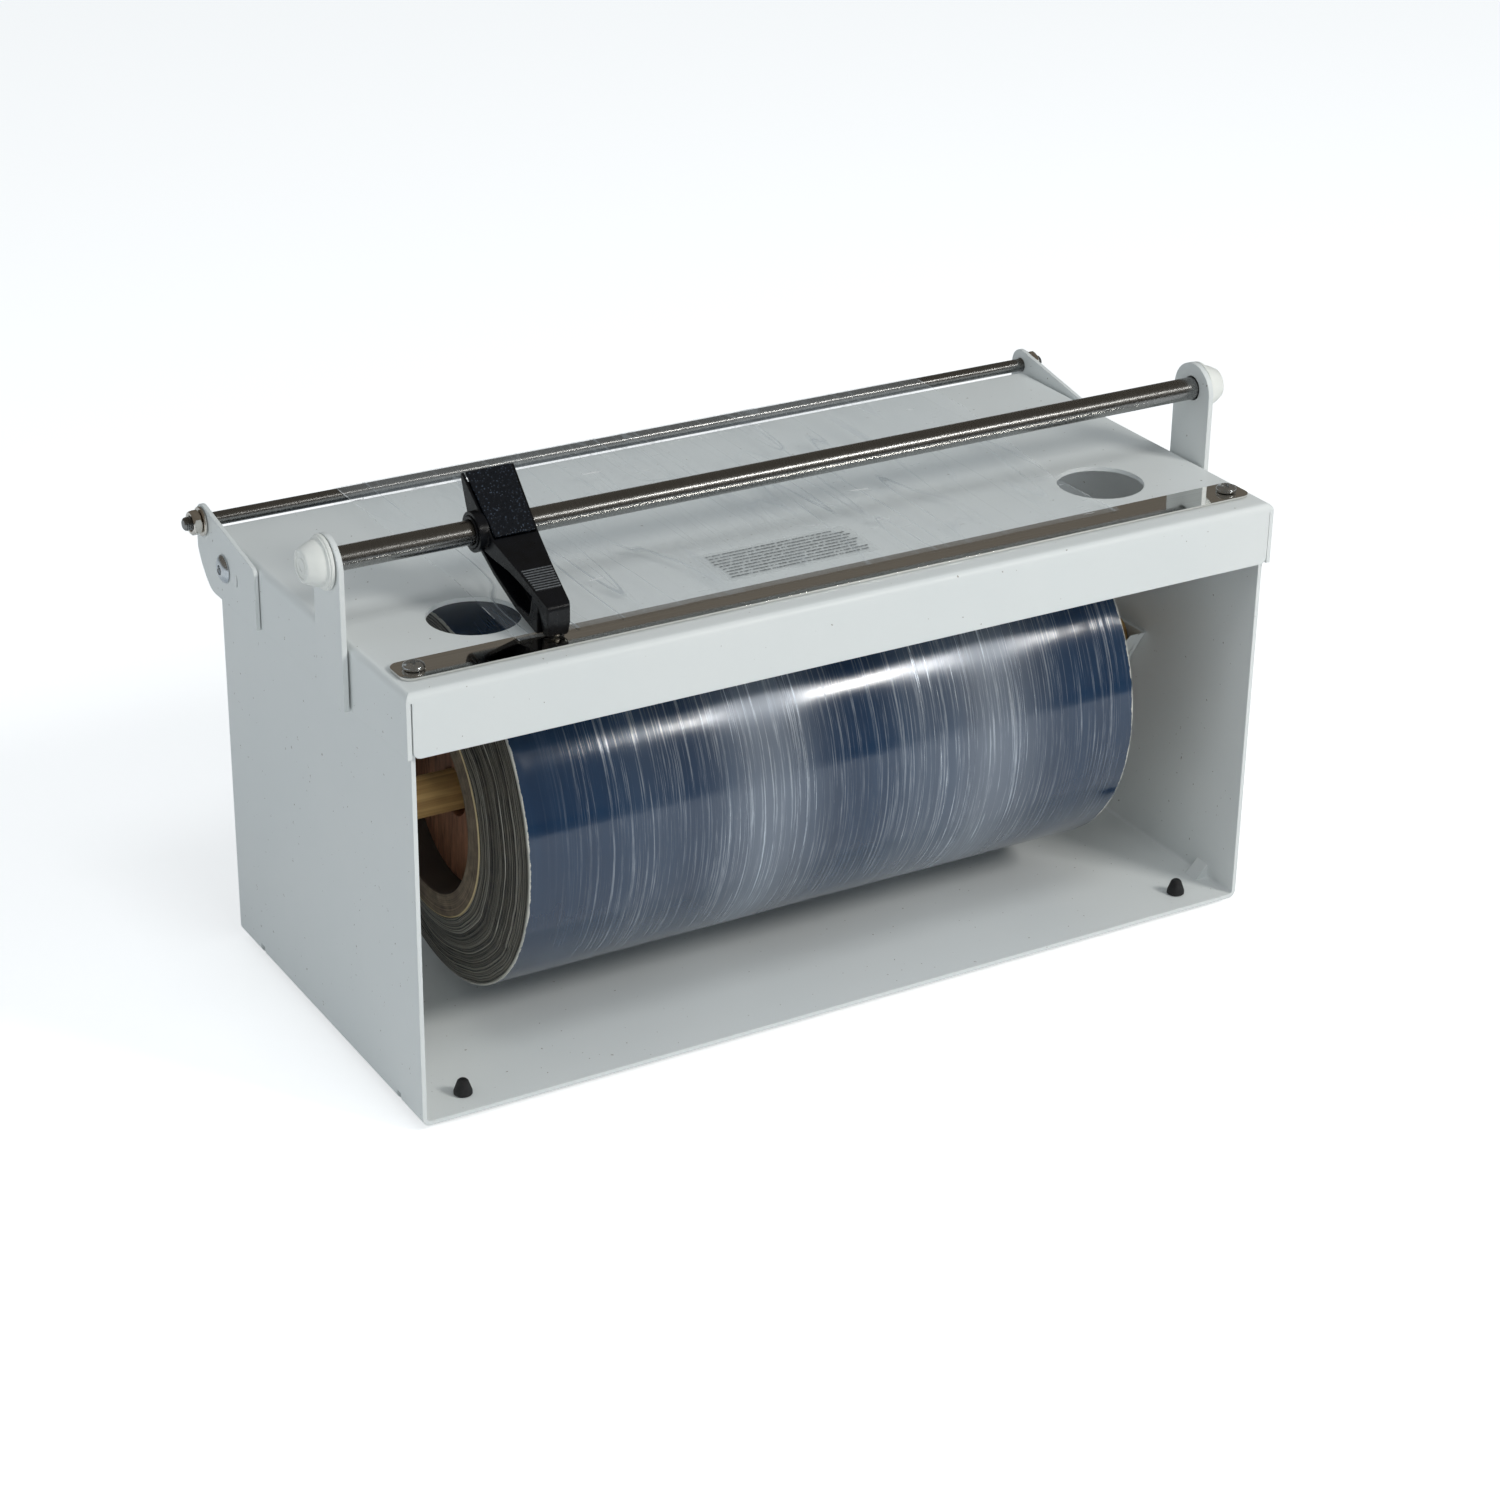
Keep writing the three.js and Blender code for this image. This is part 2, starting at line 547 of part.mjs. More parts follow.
const guide = group(0, GUIDE_Y, GUIDE_Z);
add(guide, 'guide_rod', rodX(-guideEnd, guideEnd, GUIDE_RADIUS, 24), brushedSteel);
for (const [name, side] of SIDES) {
  const washer = ringX(washerFace, washerFace + WASHER_THICKNESS, GUIDE_RADIUS + GAP, 6.4, 24);
  add(guide, `guide_washer_${name}`, washer, zincPlate).rotation.z = side < 0 ? Math.PI : 0;
  const nut = nutX(side, guideNutFace, 10, GUIDE_NUT_THICKNESS, GUIDE_RADIUS + GAP);
  add(guide, `guide_nut_${name}`, nut, zincPlate);
}

// ---------------------------------------------------------------- cutter rail

// The rail turns freely in the ears. A push-on cap closes each end.
const capFace = EAR_OUTER + GAP;
const capTip = capFace + CAP_LENGTH;
const railEnd = capTip - 3;

function railCap() {
  const flange = 2.4;
  const bore = RAIL_RADIUS + GAP;
  return turnedX([
    [capFace, bore], [capFace, CAP_RADIUS - 0.4], [capFace + 0.4, CAP_RADIUS],
    [capFace + flange - 0.4, CAP_RADIUS], [capFace + flange, CAP_RADIUS - 0.5],
    [capFace + flange, CAP_CONE_RADIUS], [capTip - 0.8, CAP_TIP_RADIUS + 0.3],
    [capTip, CAP_TIP_RADIUS - 0.5], [capTip, CAP_TIP_RADIUS - 1.4], [capTip - 0.5, CAP_TIP_RADIUS - 1.6],
    [capTip - 0.5, 0], [railEnd + GAP, 0], [railEnd + GAP, bore], [capFace, bore],
  ], 32);
}

const rail = group(0, RAIL_Y, RAIL_Z);
add(rail, 'cutter_rail', rodX(-railEnd, railEnd, RAIL_RADIUS, 32), brushedSteel);
for (const [name, side] of SIDES) {
  add(rail, `rail_cap_${name}`, railCap(), whitePlastic).rotation.z = side < 0 ? Math.PI : 0;
}

// ---------------------------------------------------------------- cutter

// The cutter is drawn about the rail's axis: y is towards the back and z is up.
const NOSE_BOTTOM = STRIP_TOP + GAP + FILM_THICKNESS + GAP - RAIL_Z;
const BLADE_Y = -42;
const GLIDE_Y = -46;
const PAD_THICKNESS = 1.2;
const padRear = [12.8, 20.5];
const padFront = [-11.8, -0.5];
const noseTop = [-49.1, -16.5];

// A strip of a sloping face between two profile points, raised or sunk by two heights.
function slab(from, to, low, high) {
  const length = Math.hypot(to[0] - from[0], to[1] - from[1]);
  const up = [(from[1] - to[1]) / length, (to[0] - from[0]) / length];
  const at = (point, height) => [point[0] + up[0] * height, point[1] + up[1] * height];
  return polygon([at(from, low), at(to, low), at(to, high), at(from, high)]);
}

// Points of a curve that rounds a corner off, starting and ending at one distance from it.
function easedCorner(before, corner, after, distance, steps = 5) {
  const along = (target) => {
    const length = Math.hypot(target[0] - corner[0], target[1] - corner[1]);
    return corner.map((value, axis) => value + ((target[axis] - value) * distance) / length);
  };
  const [start, end] = [along(before), along(after)];
  return Array.from({ length: steps + 1 }, (_, step) => {
    const t = step / steps;
    return corner.map((value, axis) =>
      (1 - t) ** 2 * start[axis] + 2 * t * (1 - t) * value + t ** 2 * end[axis]);
  });
}

function cutterBody() {
  const noseFoot = [-48.2, -28.6];
  const side = polygon([
    [13.6, 19.5], padRear, padFront, ...easedCorner(padFront, noseTop, noseFoot, 2.2), noseFoot,
    [-47.2, NOSE_BOTTOM], [-40, NOSE_BOTTOM], [-26.5, -24.6], [-2, -8.4], [7.1, 0],
  ]);
  const plan = polygon([
    [-11.8, 15], [-10.2, -11.8], [-7.6, -28.5], [-6.2, -40], [-5.3, -47.5], [-4.4, -50],
    [4.4, -50], [5.3, -47.5], [6.2, -40], [7.6, -28.5], [10.2, -11.8], [11.8, 15],
  ]);
  const moulding = alongX(side, -15, 15).intersect(alongZ(plan, -60, 40));

  // The front half of the nose narrows towards its foot.
  const foot = NOSE_BOTTOM - 1;
  const tapers = [-1, 1].map((s) => alongY(
    polygon([[s * 4, foot], [s * 5.8, -18.5], [s * 12, -18.5], [s * 12, foot]]), -60, BLADE_Y));

  // Each side has a deep wedge-shaped pocket between the upper face and the lower arm.
  const pocket = polygon([
    [2, -5.8], [-22, -9.9], [-38.2, -15.2], [-36.2, -23.8], [-27.5, -22.6], [-19, -17.6], [-3.5, -7.4],
  ]);
  const web = 1.6;
  const pockets = [alongX(pocket, -20, -web), alongX(pocket, web, 20)];

  // The bottom of the nose is split across for the film, and the blade stands in the split.
  const split = box([-20, BLADE_Y - 0.6, -60], [20, BLADE_Y + 0.6, NOSE_BOTTOM + 9]);
  const glideSeat = alongZ(circle(0, GLIDE_Y, 1.9), -60, NOSE_BOTTOM + 3.5);

  const boss = rodX(BOSS_LEFT, BOSS_RIGHT, BOSS_RADIUS, 28);
  const bore = rodX(-20, 20, BUSH_RADIUS + GAP, 28);
  const padRecess = alongX(slab([13, 20.67], [-11.3, -0.07], 3, -(PAD_THICKNESS + GAP)), -10.9, 10.9);
  const padPlan = alongZ(polygon([[-10.7, 16], [-9.2, -14], [9.2, -14], [10.7, 16]]), -30, 50);
  const ribs = [];
  const along = [padFront[0] - noseTop[0], padFront[1] - noseTop[1]];
  for (let i = 0; i < 9; i += 1) {
    const t = 0.256 + i * 0.0338;
    const y = noseTop[0] + along[0] * t;
    const z = noseTop[1] + along[1] * t;
    const half = 5.6 + 0.14 * i;
    const ridge = [[y - 0.35, z - 0.6], [y + 0.35, z - 0.45], [y + 0.2, z + 0.55], [y - 0.25, z + 0.4]];
    ribs.push(alongX(polygon(ridge), -half, half));
  }
  const shaped = cut(moulding, [...pockets, ...tapers]);
  return cut(join([shaped, boss, ...ribs]), [bore, split, glideSeat, padRecess.intersect(padPlan)]);
}

function gripPad() {
  const plate = alongX(slab([12.6, 20.33], [-10.9, 0.27], 0, -PAD_THICKNESS), -12, 12);
  const plan = alongZ(polygon([[-10.4, 16], [-8.9, -14], [8.9, -14], [10.4, 16]]), -30, 50);
  return plate.intersect(plan);
}

function cutterBlade() {
  const outline = polygon([[-3.6, 0], [3.6, 0], [4.6, -3], [3.2, -8.2], [-3.2, -8.2], [-4.6, -3]]);
  return alongY(outline, -0.25, 0.25);
}

function cutterGlide() {
  const tip = STRIP_TOP + GAP - RAIL_Z;
  const top = NOSE_BOTTOM + 3.2;
  return turnedZ([[tip, 0], [tip + 0.2, 0.9], [tip + 0.8, 1.5], [top, 1.5], [top, 0]], 16);
}

const cutter = group(CUTTER_X, RAIL_Y, RAIL_Z);
const bush = ringX(BOSS_LEFT - BUSH_PROUD, BOSS_RIGHT + BUSH_PROUD, BUSH_BORE, BUSH_RADIUS, 28);
add(cutter, 'cutter_bush', bush, blackPlastic);
add(cutter, 'cutter_body', cutterBody(), blackPlastic);
add(cutter, 'cutter_grip_pad', gripPad(), blackPlastic);
add(cutter, 'cutter_blade', cutterBlade(), mirrorSteel).position.set(0, BLADE_Y, NOSE_BOTTOM + 8.7);
add(cutter, 'cutter_glide', cutterGlide(), mirrorSteel).position.y = GLIDE_Y;

// ---------------------------------------------------------------- film roll

// The inner windings stand out past the outer ones, so each end is a shallow cone.
function filmRoll() {
  const half = ROLL_LENGTH / 2;
  const bore = CORE_OUTER_RADIUS + GAP;
  const middle = (bore + ROLL_RADIUS) / 2;
  const [tall, low] = [half + ROLL_END_RISE, half + ROLL_END_RISE * 0.45];
  return turnedX([
    [-tall, bore], [tall, bore], [low, middle], [half, ROLL_RADIUS - 0.8], [half - 0.8, ROLL_RADIUS],
    [-half + 0.8, ROLL_RADIUS], [-half, ROLL_RADIUS - 0.8], [-low, middle], [-tall, bore],
  ], 72);
}

const roll = group(0, SHAFT_Y, ROLL_Z);
add(roll, 'film_roll', filmRoll(), filmBlue);
const core = ringX(-CORE_LENGTH / 2, CORE_LENGTH / 2, CORE_INNER_RADIUS, CORE_OUTER_RADIUS, 48);
add(roll, 'cardboard_core', core, cardboard);
for (const [name, side] of SIDES) {
  const plug = ringX(0, PLUG_THICKNESS, SHAFT_RADIUS + SHAFT_CLEARANCE, CORE_INNER_RADIUS - GAP, 40);
  const face = CORE_LENGTH / 2 - PLUG_RECESS;
  add(roll, `core_plug_${name}`, plug, plugWood).position.x = side < 0 ? -face : face - PLUG_THICKNESS;
}

const shaft = group(0, SHAFT_Y, SHAFT_Z);
const shaftEnd = WALL_INNER - SHAFT_END_CLEARANCE;
add(shaft, 'roll_shaft', rodX(-shaftEnd, shaftEnd, SHAFT_RADIUS, 32), dowelWood);

// A cradle is a short bent saddle on a plate on the side wall, open at the top so that the shaft
// lifts out.
function shaftCradle(side) {
  const inner = SHAFT_RADIUS + GAP;
  const outer = inner + SHEET;
  const hornTop = CRADLE_HORN_TOP;
  const lean = (215 * Math.PI) / 180;
  const away = [Math.sin(lean), -Math.cos(lean)];
  const horn = (radius) => {
    const start = [radius * Math.cos(lean), radius * Math.sin(lean)];
    const t = (hornTop - start[1]) / away[1];
    return start[0] + away[0] * t;
  };
  const saddle = new THREE.Shape();
  saddle.moveTo(horn(inner), hornTop);
  saddle.absarc(0, 0, inner, lean, 3 * Math.PI - lean, false);
  saddle.lineTo(-horn(inner), hornTop);
  saddle.lineTo(-horn(outer), hornTop);
  saddle.absarc(0, 0, outer, 3 * Math.PI - lean, lean, true);
  saddle.lineTo(horn(outer), hornTop);
  const half = CRADLE_PLATE_HALF_WIDTH;
  const [foot, footZ, lip] = [5, -15, 1.2];
  const plate = polygon([
    [-foot, footZ], [foot, footZ], [half, hornTop - lip], [half, hornTop], [-half, hornTop],
    [-half, hornTop - lip],
  ]);
  const wall = WALL_INNER - GAP;
  const span = (width) => (side < 0 ? [-wall, -wall + width] : [wall - width, wall]);
  return alongX(saddle, ...span(CRADLE_LENGTH), 12).add(alongX(plate, ...span(SHEET)));
}

for (const [name, side] of SIDES) {
  add(shaft, `shaft_cradle_${name}`, shaftCradle(side), whitePaint);
}

// ---------------------------------------------------------------- film web and label

// The free film leaves the back of the roll, turns over the guide rod and lies forward over the deck
// as far as the cutting strip. The path is the middle of the film, in (y, z).
function filmWeb() {
  const rollClear = ROLL_RADIUS + 2 * GAP + FILM_THICKNESS / 2;
  const rodClear = GUIDE_RADIUS + GAP + FILM_THICKNESS / 2;
  const [dy, dz] = [GUIDE_Y - SHAFT_Y, GUIDE_Z - ROLL_Z];
  const distance = Math.hypot(dy, dz);
  const tangent = Math.atan2(dz, dy) - Math.acos((rollClear - rodClear) / distance);
  const path = [[SHAFT_Y + rollClear * Math.cos(tangent), ROLL_Z + rollClear * Math.sin(tangent)]];
  const wrap = 8;
  const leave = 0.515 * Math.PI;
  for (let i = 0; i <= wrap; i += 1) {
    const t = tangent + ((leave - tangent) * i) / wrap;
    path.push([GUIDE_Y + rodClear * Math.cos(t), GUIDE_Z + rodClear * Math.sin(t)]);
  }
  const overStrip = STRIP_TOP + GAP + FILM_THICKNESS / 2;
  path.push([STRIP_Y + STRIP_WIDTH / 2 + 3, overStrip], [FRONT_Y + WEB_END_BACK, overStrip]);

  const side = (offset) => path.map(([y, z], i) => {
    const before = path[Math.max(i - 1, 0)];
    const after = path[Math.min(i + 1, path.length - 1)];
    const length = Math.hypot(after[0] - before[0], after[1] - before[1]);
    return [y + (offset * (after[1] - before[1])) / length, z - (offset * (after[0] - before[0])) / length];
  });
  const half = FILM_THICKNESS / 2;
  return alongX(polygon([...side(half), ...side(-half).reverse()]), -WEB_WIDTH / 2, WEB_WIDTH / 2);
}

add(housing, 'film_web', filmWeb(), filmClear);
const [labelHalf, labelHalfDepth] = [LABEL_WIDTH / 2, LABEL_DEPTH / 2];
const label = box([-labelHalf, -labelHalfDepth, 0], [labelHalf, labelHalfDepth, LABEL_THICKNESS]);
add(housing, 'instruction_label', label, labelPaper)
  .position.set(LABEL_X, FRONT_Y + LABEL_BACK, DECK_TOP + GAP);

export default dispenser;
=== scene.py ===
import math
import random

import bpy
from mathutils import Matrix, Vector, noise


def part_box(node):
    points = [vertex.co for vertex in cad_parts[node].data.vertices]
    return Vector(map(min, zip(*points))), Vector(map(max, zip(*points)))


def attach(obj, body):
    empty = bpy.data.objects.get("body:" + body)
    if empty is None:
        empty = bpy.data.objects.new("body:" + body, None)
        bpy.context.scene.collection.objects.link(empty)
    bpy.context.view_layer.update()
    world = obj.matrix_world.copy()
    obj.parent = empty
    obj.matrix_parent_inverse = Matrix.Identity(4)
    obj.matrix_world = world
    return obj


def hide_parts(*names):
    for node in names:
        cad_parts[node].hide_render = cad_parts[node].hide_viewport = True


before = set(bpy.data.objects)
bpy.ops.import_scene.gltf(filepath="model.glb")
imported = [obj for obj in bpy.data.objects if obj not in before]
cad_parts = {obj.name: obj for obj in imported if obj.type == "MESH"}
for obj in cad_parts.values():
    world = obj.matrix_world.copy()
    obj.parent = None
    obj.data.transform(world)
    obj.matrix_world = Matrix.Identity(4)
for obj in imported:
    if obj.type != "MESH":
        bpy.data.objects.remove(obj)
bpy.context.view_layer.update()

# Units are metres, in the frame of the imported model: +X to the right, +Y to the back, +Z up.
MM = 0.001
SEED = 7
SIDES = {"left": -1, "right": 1}


def middle(node):
    low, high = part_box(node)
    return (low + high) / 2


def extent(node):
    low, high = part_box(node)
    return high - low


ROLL = middle("film_roll")
ROLL_RADIUS = extent("film_roll").z / 2
ROLL_HALF = 150 * MM  # half the width of the film
ROLL_RISE = extent("film_roll").x / 2 - ROLL_HALF  # how far the inner windings stand out
CORE_RADIUS = extent("cardboard_core").z / 2
BORE_RADIUS = extent("core_plug_left").z / 2 + 0.3 * MM
PLUG_HOLE = 10.6 * MM
RAIL = middle("cutter_rail")
GUIDE = middle("guide_rod")
GUIDE_RADIUS = extent("guide_rod").z / 2
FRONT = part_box("top_cover")[0].y
STRIP_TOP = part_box("cutting_strip")[1].z
STRIP_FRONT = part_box("cutting_strip")[0].y

# ---------------------------------------------------------------- stage, camera and lights

CAMERA_AT = (-0.70623, -1.20769, 0.75866)
CAMERA_YAW = 0.532144
CAMERA_PITCH = -0.449722
CAMERA_ROLL = 0.013355
CAMERA_LENS = 83.61
SENSOR = 36
LIGHTS_AIM = Vector((0, 0, 0.12))
WARM_WHITE = (1.0, 0.985, 0.95)
COOL_WHITE = (0.93, 0.98, 1.0)


def make_camera():
    forward = Vector((
        math.sin(CAMERA_YAW) * math.cos(CAMERA_PITCH),
        math.cos(CAMERA_YAW) * math.cos(CAMERA_PITCH),
        math.sin(CAMERA_PITCH)))
    right = forward.cross(Vector((0, 0, 1))).normalized()
    up = right.cross(forward)
    turned_right = right * math.cos(CAMERA_ROLL) + up * math.sin(CAMERA_ROLL)
    turned_up = up * math.cos(CAMERA_ROLL) - right * math.sin(CAMERA_ROLL)
    data = bpy.data.cameras.new("camera")
    data.lens = CAMERA_LENS
    data.sensor_width = SENSOR
    camera = bpy.data.objects.new("camera", data)
    turn = Matrix((turned_right, turned_up, -forward)).transposed().to_4x4()
    camera.matrix_world = Matrix.Translation(CAMERA_AT) @ turn
    bpy.context.scene.collection.objects.link(camera)
    bpy.context.scene.camera = camera


def area_light(name, place, away, size, watts, colour):
    """A soft square light that shines the opposite way to the vector away."""
    data = bpy.data.lights.new(name, "AREA")
    data.shape = "SQUARE"
    data.size = size
    data.energy = watts
    data.color = colour
    light = bpy.data.objects.new(name, data)
    light.location = place
    light.rotation_mode = "QUATERNION"
    light.rotation_quaternion = away.to_track_quat("Z", "Y")
    bpy.context.scene.collection.objects.link(light)
    return light


def studio_light(name, azimuth, elevation, distance, size, watts, colour):
    """A light aimed at the object. Azimuth 0 is in front of the object and 90 is to its right."""
    a, e = math.radians(azimuth), math.radians(elevation)
    away = Vector((math.sin(a) * math.cos(e), -math.cos(a) * math.cos(e), math.sin(e)))
    return area_light(name, LIGHTS_AIM + away * distance, away, size, watts, colour)


def make_lights():
    """Broad lights that reflections don't show, two glints that only reflections show, and a bounce."""
    for name, azimuth, elevation, distance, size, watts, colour in (
        ("key", 33, 34, 2.5, 0.55, 26, WARM_WHITE),
        ("top", -8, 66, 1.7, 0.40, 3.6, (0.97, 0.99, 1.0)),
        ("left_fill", -95, 4, 1.5, 0.9, 3.4, (0.93, 0.97, 1.0)),
        ("front_fill", -12, 8, 1.6, 0.9, 1.6, COOL_WHITE),
    ):
        broad = studio_light(name, azimuth, elevation, distance, size, watts, colour)
        broad.visible_glossy = False
    for azimuth in (31.5, 36.5):
        glint = studio_light("glint", azimuth, 31, 2.5, 0.14, 3.5, WARM_WHITE)
        glint.visible_diffuse = False

    # Light thrown back from the table on to the floor of the housing.
    bounce = area_light("bounce", (0, -0.15, 0.155), Vector((0, -0.30, 0.95)), 0.36, 0.035, COOL_WHITE)
    bounce.data.shape = "RECTANGLE"
    bounce.data.size_y = 0.05
    bounce.visible_glossy = False
    bounce.visible_camera = False


def make_world():
    """Pale to the eye, an even cool fill for rough surfaces, and a dim room for shiny ones."""
    world = bpy.data.worlds.new("studio")
    bpy.context.scene.world = world
    world.use_nodes = True
    nodes, links = world.node_tree.nodes, world.node_tree.links
    nodes.clear()
    path = nodes.new("ShaderNodeLightPath")
    output = nodes.new("ShaderNodeOutputWorld")
    fill, room, sky = [nodes.new("ShaderNodeBackground") for _ in range(3)]
    fill.inputs["Color"].default_value = (0.87, 0.95, 1.0, 1)
    fill.inputs["Strength"].default_value = 0.36
    room.inputs["Color"].default_value = (1.0, 0.90, 0.76, 1)
    room.inputs["Strength"].default_value = 0.13
    sky.inputs["Color"].default_value = (1, 1, 1, 1)
    sky.inputs["Strength"].default_value = 1.0
    shiny, seen = nodes.new("ShaderNodeMixShader"), nodes.new("ShaderNodeMixShader")
    links.new(path.outputs["Is Glossy Ray"], shiny.inputs[0])
    links.new(fill.outputs[0], shiny.inputs[1])
    links.new(room.outputs[0], shiny.inputs[2])
    links.new(path.outputs["Is Camera Ray"], seen.inputs[0])
    links.new(shiny.outputs[0], seen.inputs[1])
    links.new(sky.outputs[0], seen.inputs[2])
    links.new(seen.outputs[0], output.inputs["Surface"])


def plane(name, low, high, z):
    """A level rectangle that belongs to the stage, not to the object."""
    mesh = bpy.data.meshes.new(name)
    corners = [(low[0], low[1], z), (high[0], low[1], z), (high[0], high[1], z), (low[0], high[1], z)]
    mesh.from_pydata(corners, [], [(0, 1, 2, 3)])
    obj = bpy.data.objects.new(name, mesh)
    bpy.context.scene.collection.objects.link(obj)
    return obj


def make_stage():
    floor = plane("floor", (-8, -8), (8, 8), 0)
    paper = bpy.data.materials.new("white_paper")
    paper.use_nodes = True
    nodes, links = paper.node_tree.nodes, paper.node_tree.links
    shader = nodes["Principled BSDF"]
    shader.inputs["Base Color"].default_value = (0.90, 0.91, 0.92, 1)
    shader.inputs["Roughness"].default_value = 0.9
    shader.inputs["Emission Color"].default_value = (1, 1, 1, 1)
    path = nodes.new("ShaderNodeLightPath")
    lift = nodes.new("ShaderNodeMath")
    lift.operation = "MULTIPLY"
    lift.inputs[1].default_value = 0.55
    links.new(path.outputs["Is Camera Ray"], lift.inputs[0])
    links.new(lift.outputs[0], shader.inputs["Emission Strength"])
    floor.data.materials.append(paper)

    # The table ends in front of the object, and shiny things see the dim room past its edge.
    beyond = plane("room_in_front", (-8, -8), (8, -0.8), 0.002)
    dark = bpy.data.materials.new("dim_room")
    dark.use_nodes = True
    dark.node_tree.nodes["Principled BSDF"].inputs["Base Color"].default_value = (0.05, 0.05, 0.05, 1)
    beyond.data.materials.append(dark)
    beyond.visible_camera = False
    beyond.visible_diffuse = False
    beyond.visible_transmission = False
    beyond.visible_shadow = False


make_camera()
make_world()
make_stage()
make_lights()
bpy.context.scene.view_settings.view_transform = "Standard"

# ---------------------------------------------------------------- material nodes


class Surface:
    """A Principled material, with short ways to add procedural nodes to it."""

    def __init__(self, name, colour, roughness, metallic=0.0, **sockets):
        self.material = bpy.data.materials.new(name)
        self.material.use_nodes = True
        self.tree = self.material.node_tree
        self.shader = self.tree.nodes["Principled BSDF"]
        self.shader.inputs["Base Color"].default_value = (*colour, 1)
        self.shader.inputs["Roughness"].default_value = roughness
        self.shader.inputs["Metallic"].default_value = metallic
        for key, value in sockets.items():
            self.shader.inputs[key.replace("_", " ").title().replace("Ior", "IOR")].default_value = value
        self.at = self.tree.nodes.new("ShaderNodeTexCoord").outputs["Object"]

    def node(self, kind, inputs, **settings):
        made = self.tree.nodes.new("ShaderNode" + kind)
        for key, value in settings.items():
            setattr(made, key, value)
        for key, value in inputs.items():
            self.put(made.inputs[key], value)
        return made

    def put(self, socket, value):
        if isinstance(value, bpy.types.NodeSocket):
            self.tree.links.new(value, socket)
        elif socket.type == "RGBA" and len(value) == 3:
            socket.default_value = (*value, 1)
        else:
            socket.default_value = value

    def math(self, operation, a, b=0.0):
        return self.node("Math", {0: a, 1: b}, operation=operation).outputs[0]

    def product(self, first, *others):
        for other in others:
            first = self.math("MULTIPLY", first, other)
        return first

    def total(self, first, *others):
        for other in others:
            first = self.math("ADD", first, other)
        return first

    def bell(self, value, centre, width):
        """1 at the centre, fading smoothly to nothing on both sides."""
        off = self.math("DIVIDE", self.math("SUBTRACT", value, centre), width)
        return self.math("EXPONENT", self.product(off, off, -1.0))

    def stretched(self, scale, turn=(0, 0, 0)):
        return self.node("Mapping", {"Vector": self.at, "Scale": scale, "Rotation": turn}).outputs[0]

    def noise(self, scale, detail=4, at=None, roughness=0.55, distortion=0.0):
        made = self.node("TexNoise", {
            "Vector": self.at if at is None else at, "Scale": scale, "Detail": detail,
            "Roughness": roughness, "Distortion": distortion})
        return made.outputs["Fac"]

    def noise_along(self, value, scale, detail, roughness):
        """Noise that changes with one value alone."""
        made = self.node("TexNoise", noise_dimensions="1D", inputs={
            "W": value, "Scale": scale, "Detail": detail, "Roughness": roughness})
        return made.outputs["Fac"]

    def ramp(self, value, stops):
        made = self.node("ValToRGB", {0: value})
        elements = made.color_ramp.elements
        while len(elements) < len(stops):
            elements.new(0.5)
        for element, (position, colour) in zip(elements, stops):
            element.position = position
            element.color = (*colour, 1)
        return made.outputs["Color"]

    def span(self, value, low, high, to_low=0.0, to_high=1.0):
        return self.node("MapRange", {0: value, 1: low, 2: high, 3: to_low, 4: to_high}).outputs[0]

    def mix(self, share, a, b):
        made = self.node("Mix", {"Factor": share, 6: a, 7: b}, data_type="RGBA")
        return made.outputs[2]

    def bump(self, height, distance):
        """Adds a bump over whatever already shapes the surface's normal."""
        normal = self.shader.inputs["Normal"]
        made = self.node("Bump", {"Height": height, "Distance": distance, "Strength": 1.0})
        if normal.is_linked:
            self.tree.links.new(normal.links[0].from_socket, made.inputs["Normal"])
        self.tree.links.new(made.outputs[0], normal)

    def rounded_edges(self, radius):
        """Softens the shading of the piece's edges, under any bump."""
        self.set("Normal", self.node("Bevel", {"Radius": radius}).outputs[0])

    def set(self, name, value):
        self.put(self.shader.inputs[name], value)

    def across_roll(self):
        """Distance from the roll's axis, and place along it."""
        moved = self.node("VectorMath", {0: self.at, 1: tuple(ROLL)}, operation="SUBTRACT").outputs[0]
        parts = self.node("SeparateXYZ", {0: moved})
        y, z = parts.outputs["Y"], parts.outputs["Z"]
        radius = self.math("SQRT", self.total(self.product(y, y), self.product(z, z)))
        return radius, parts.outputs["X"]


# ---------------------------------------------------------------- materials


def white_paint():
    s = Surface("white_powder_coat", (0.78, 0.80, 0.79), 0.4, coat_weight=0.15, coat_roughness=0.25)
    s.rounded_edges(0.5 * MM)
    clouds = s.noise(9, 3)
    tone = s.ramp(clouds, [(0.3, (0.755, 0.785, 0.78)), (0.7, (0.785, 0.805, 0.795))])
    specks = s.span(s.noise(420, 2), 0.735, 0.75)
    s.set("Base Color", s.mix(specks, tone, (0.35, 0.33, 0.30)))
    s.set("Roughness", s.span(s.noise(60, 3), 0.3, 0.7, 0.34, 0.44))
    s.bump(s.noise(1100, 2), 0.010 * MM)
    s.bump(s.noise(14, 2), 0.10 * MM)
    return s.material


def white_plastic():
    s = Surface("white_plastic", (0.86, 0.87, 0.82), 0.36,
                subsurface_weight=0.08, subsurface_radius=(2 * MM,) * 3)
    s.set("Base Color", s.ramp(s.noise(120), [(0.3, (0.83, 0.84, 0.80)), (0.7, (0.88, 0.885, 0.845))]))
    s.set("Roughness", s.span(s.noise(300, 3), 0.3, 0.7, 0.30, 0.44))
    s.bump(s.noise(1600, 2), 0.01 * MM)
    return s.material


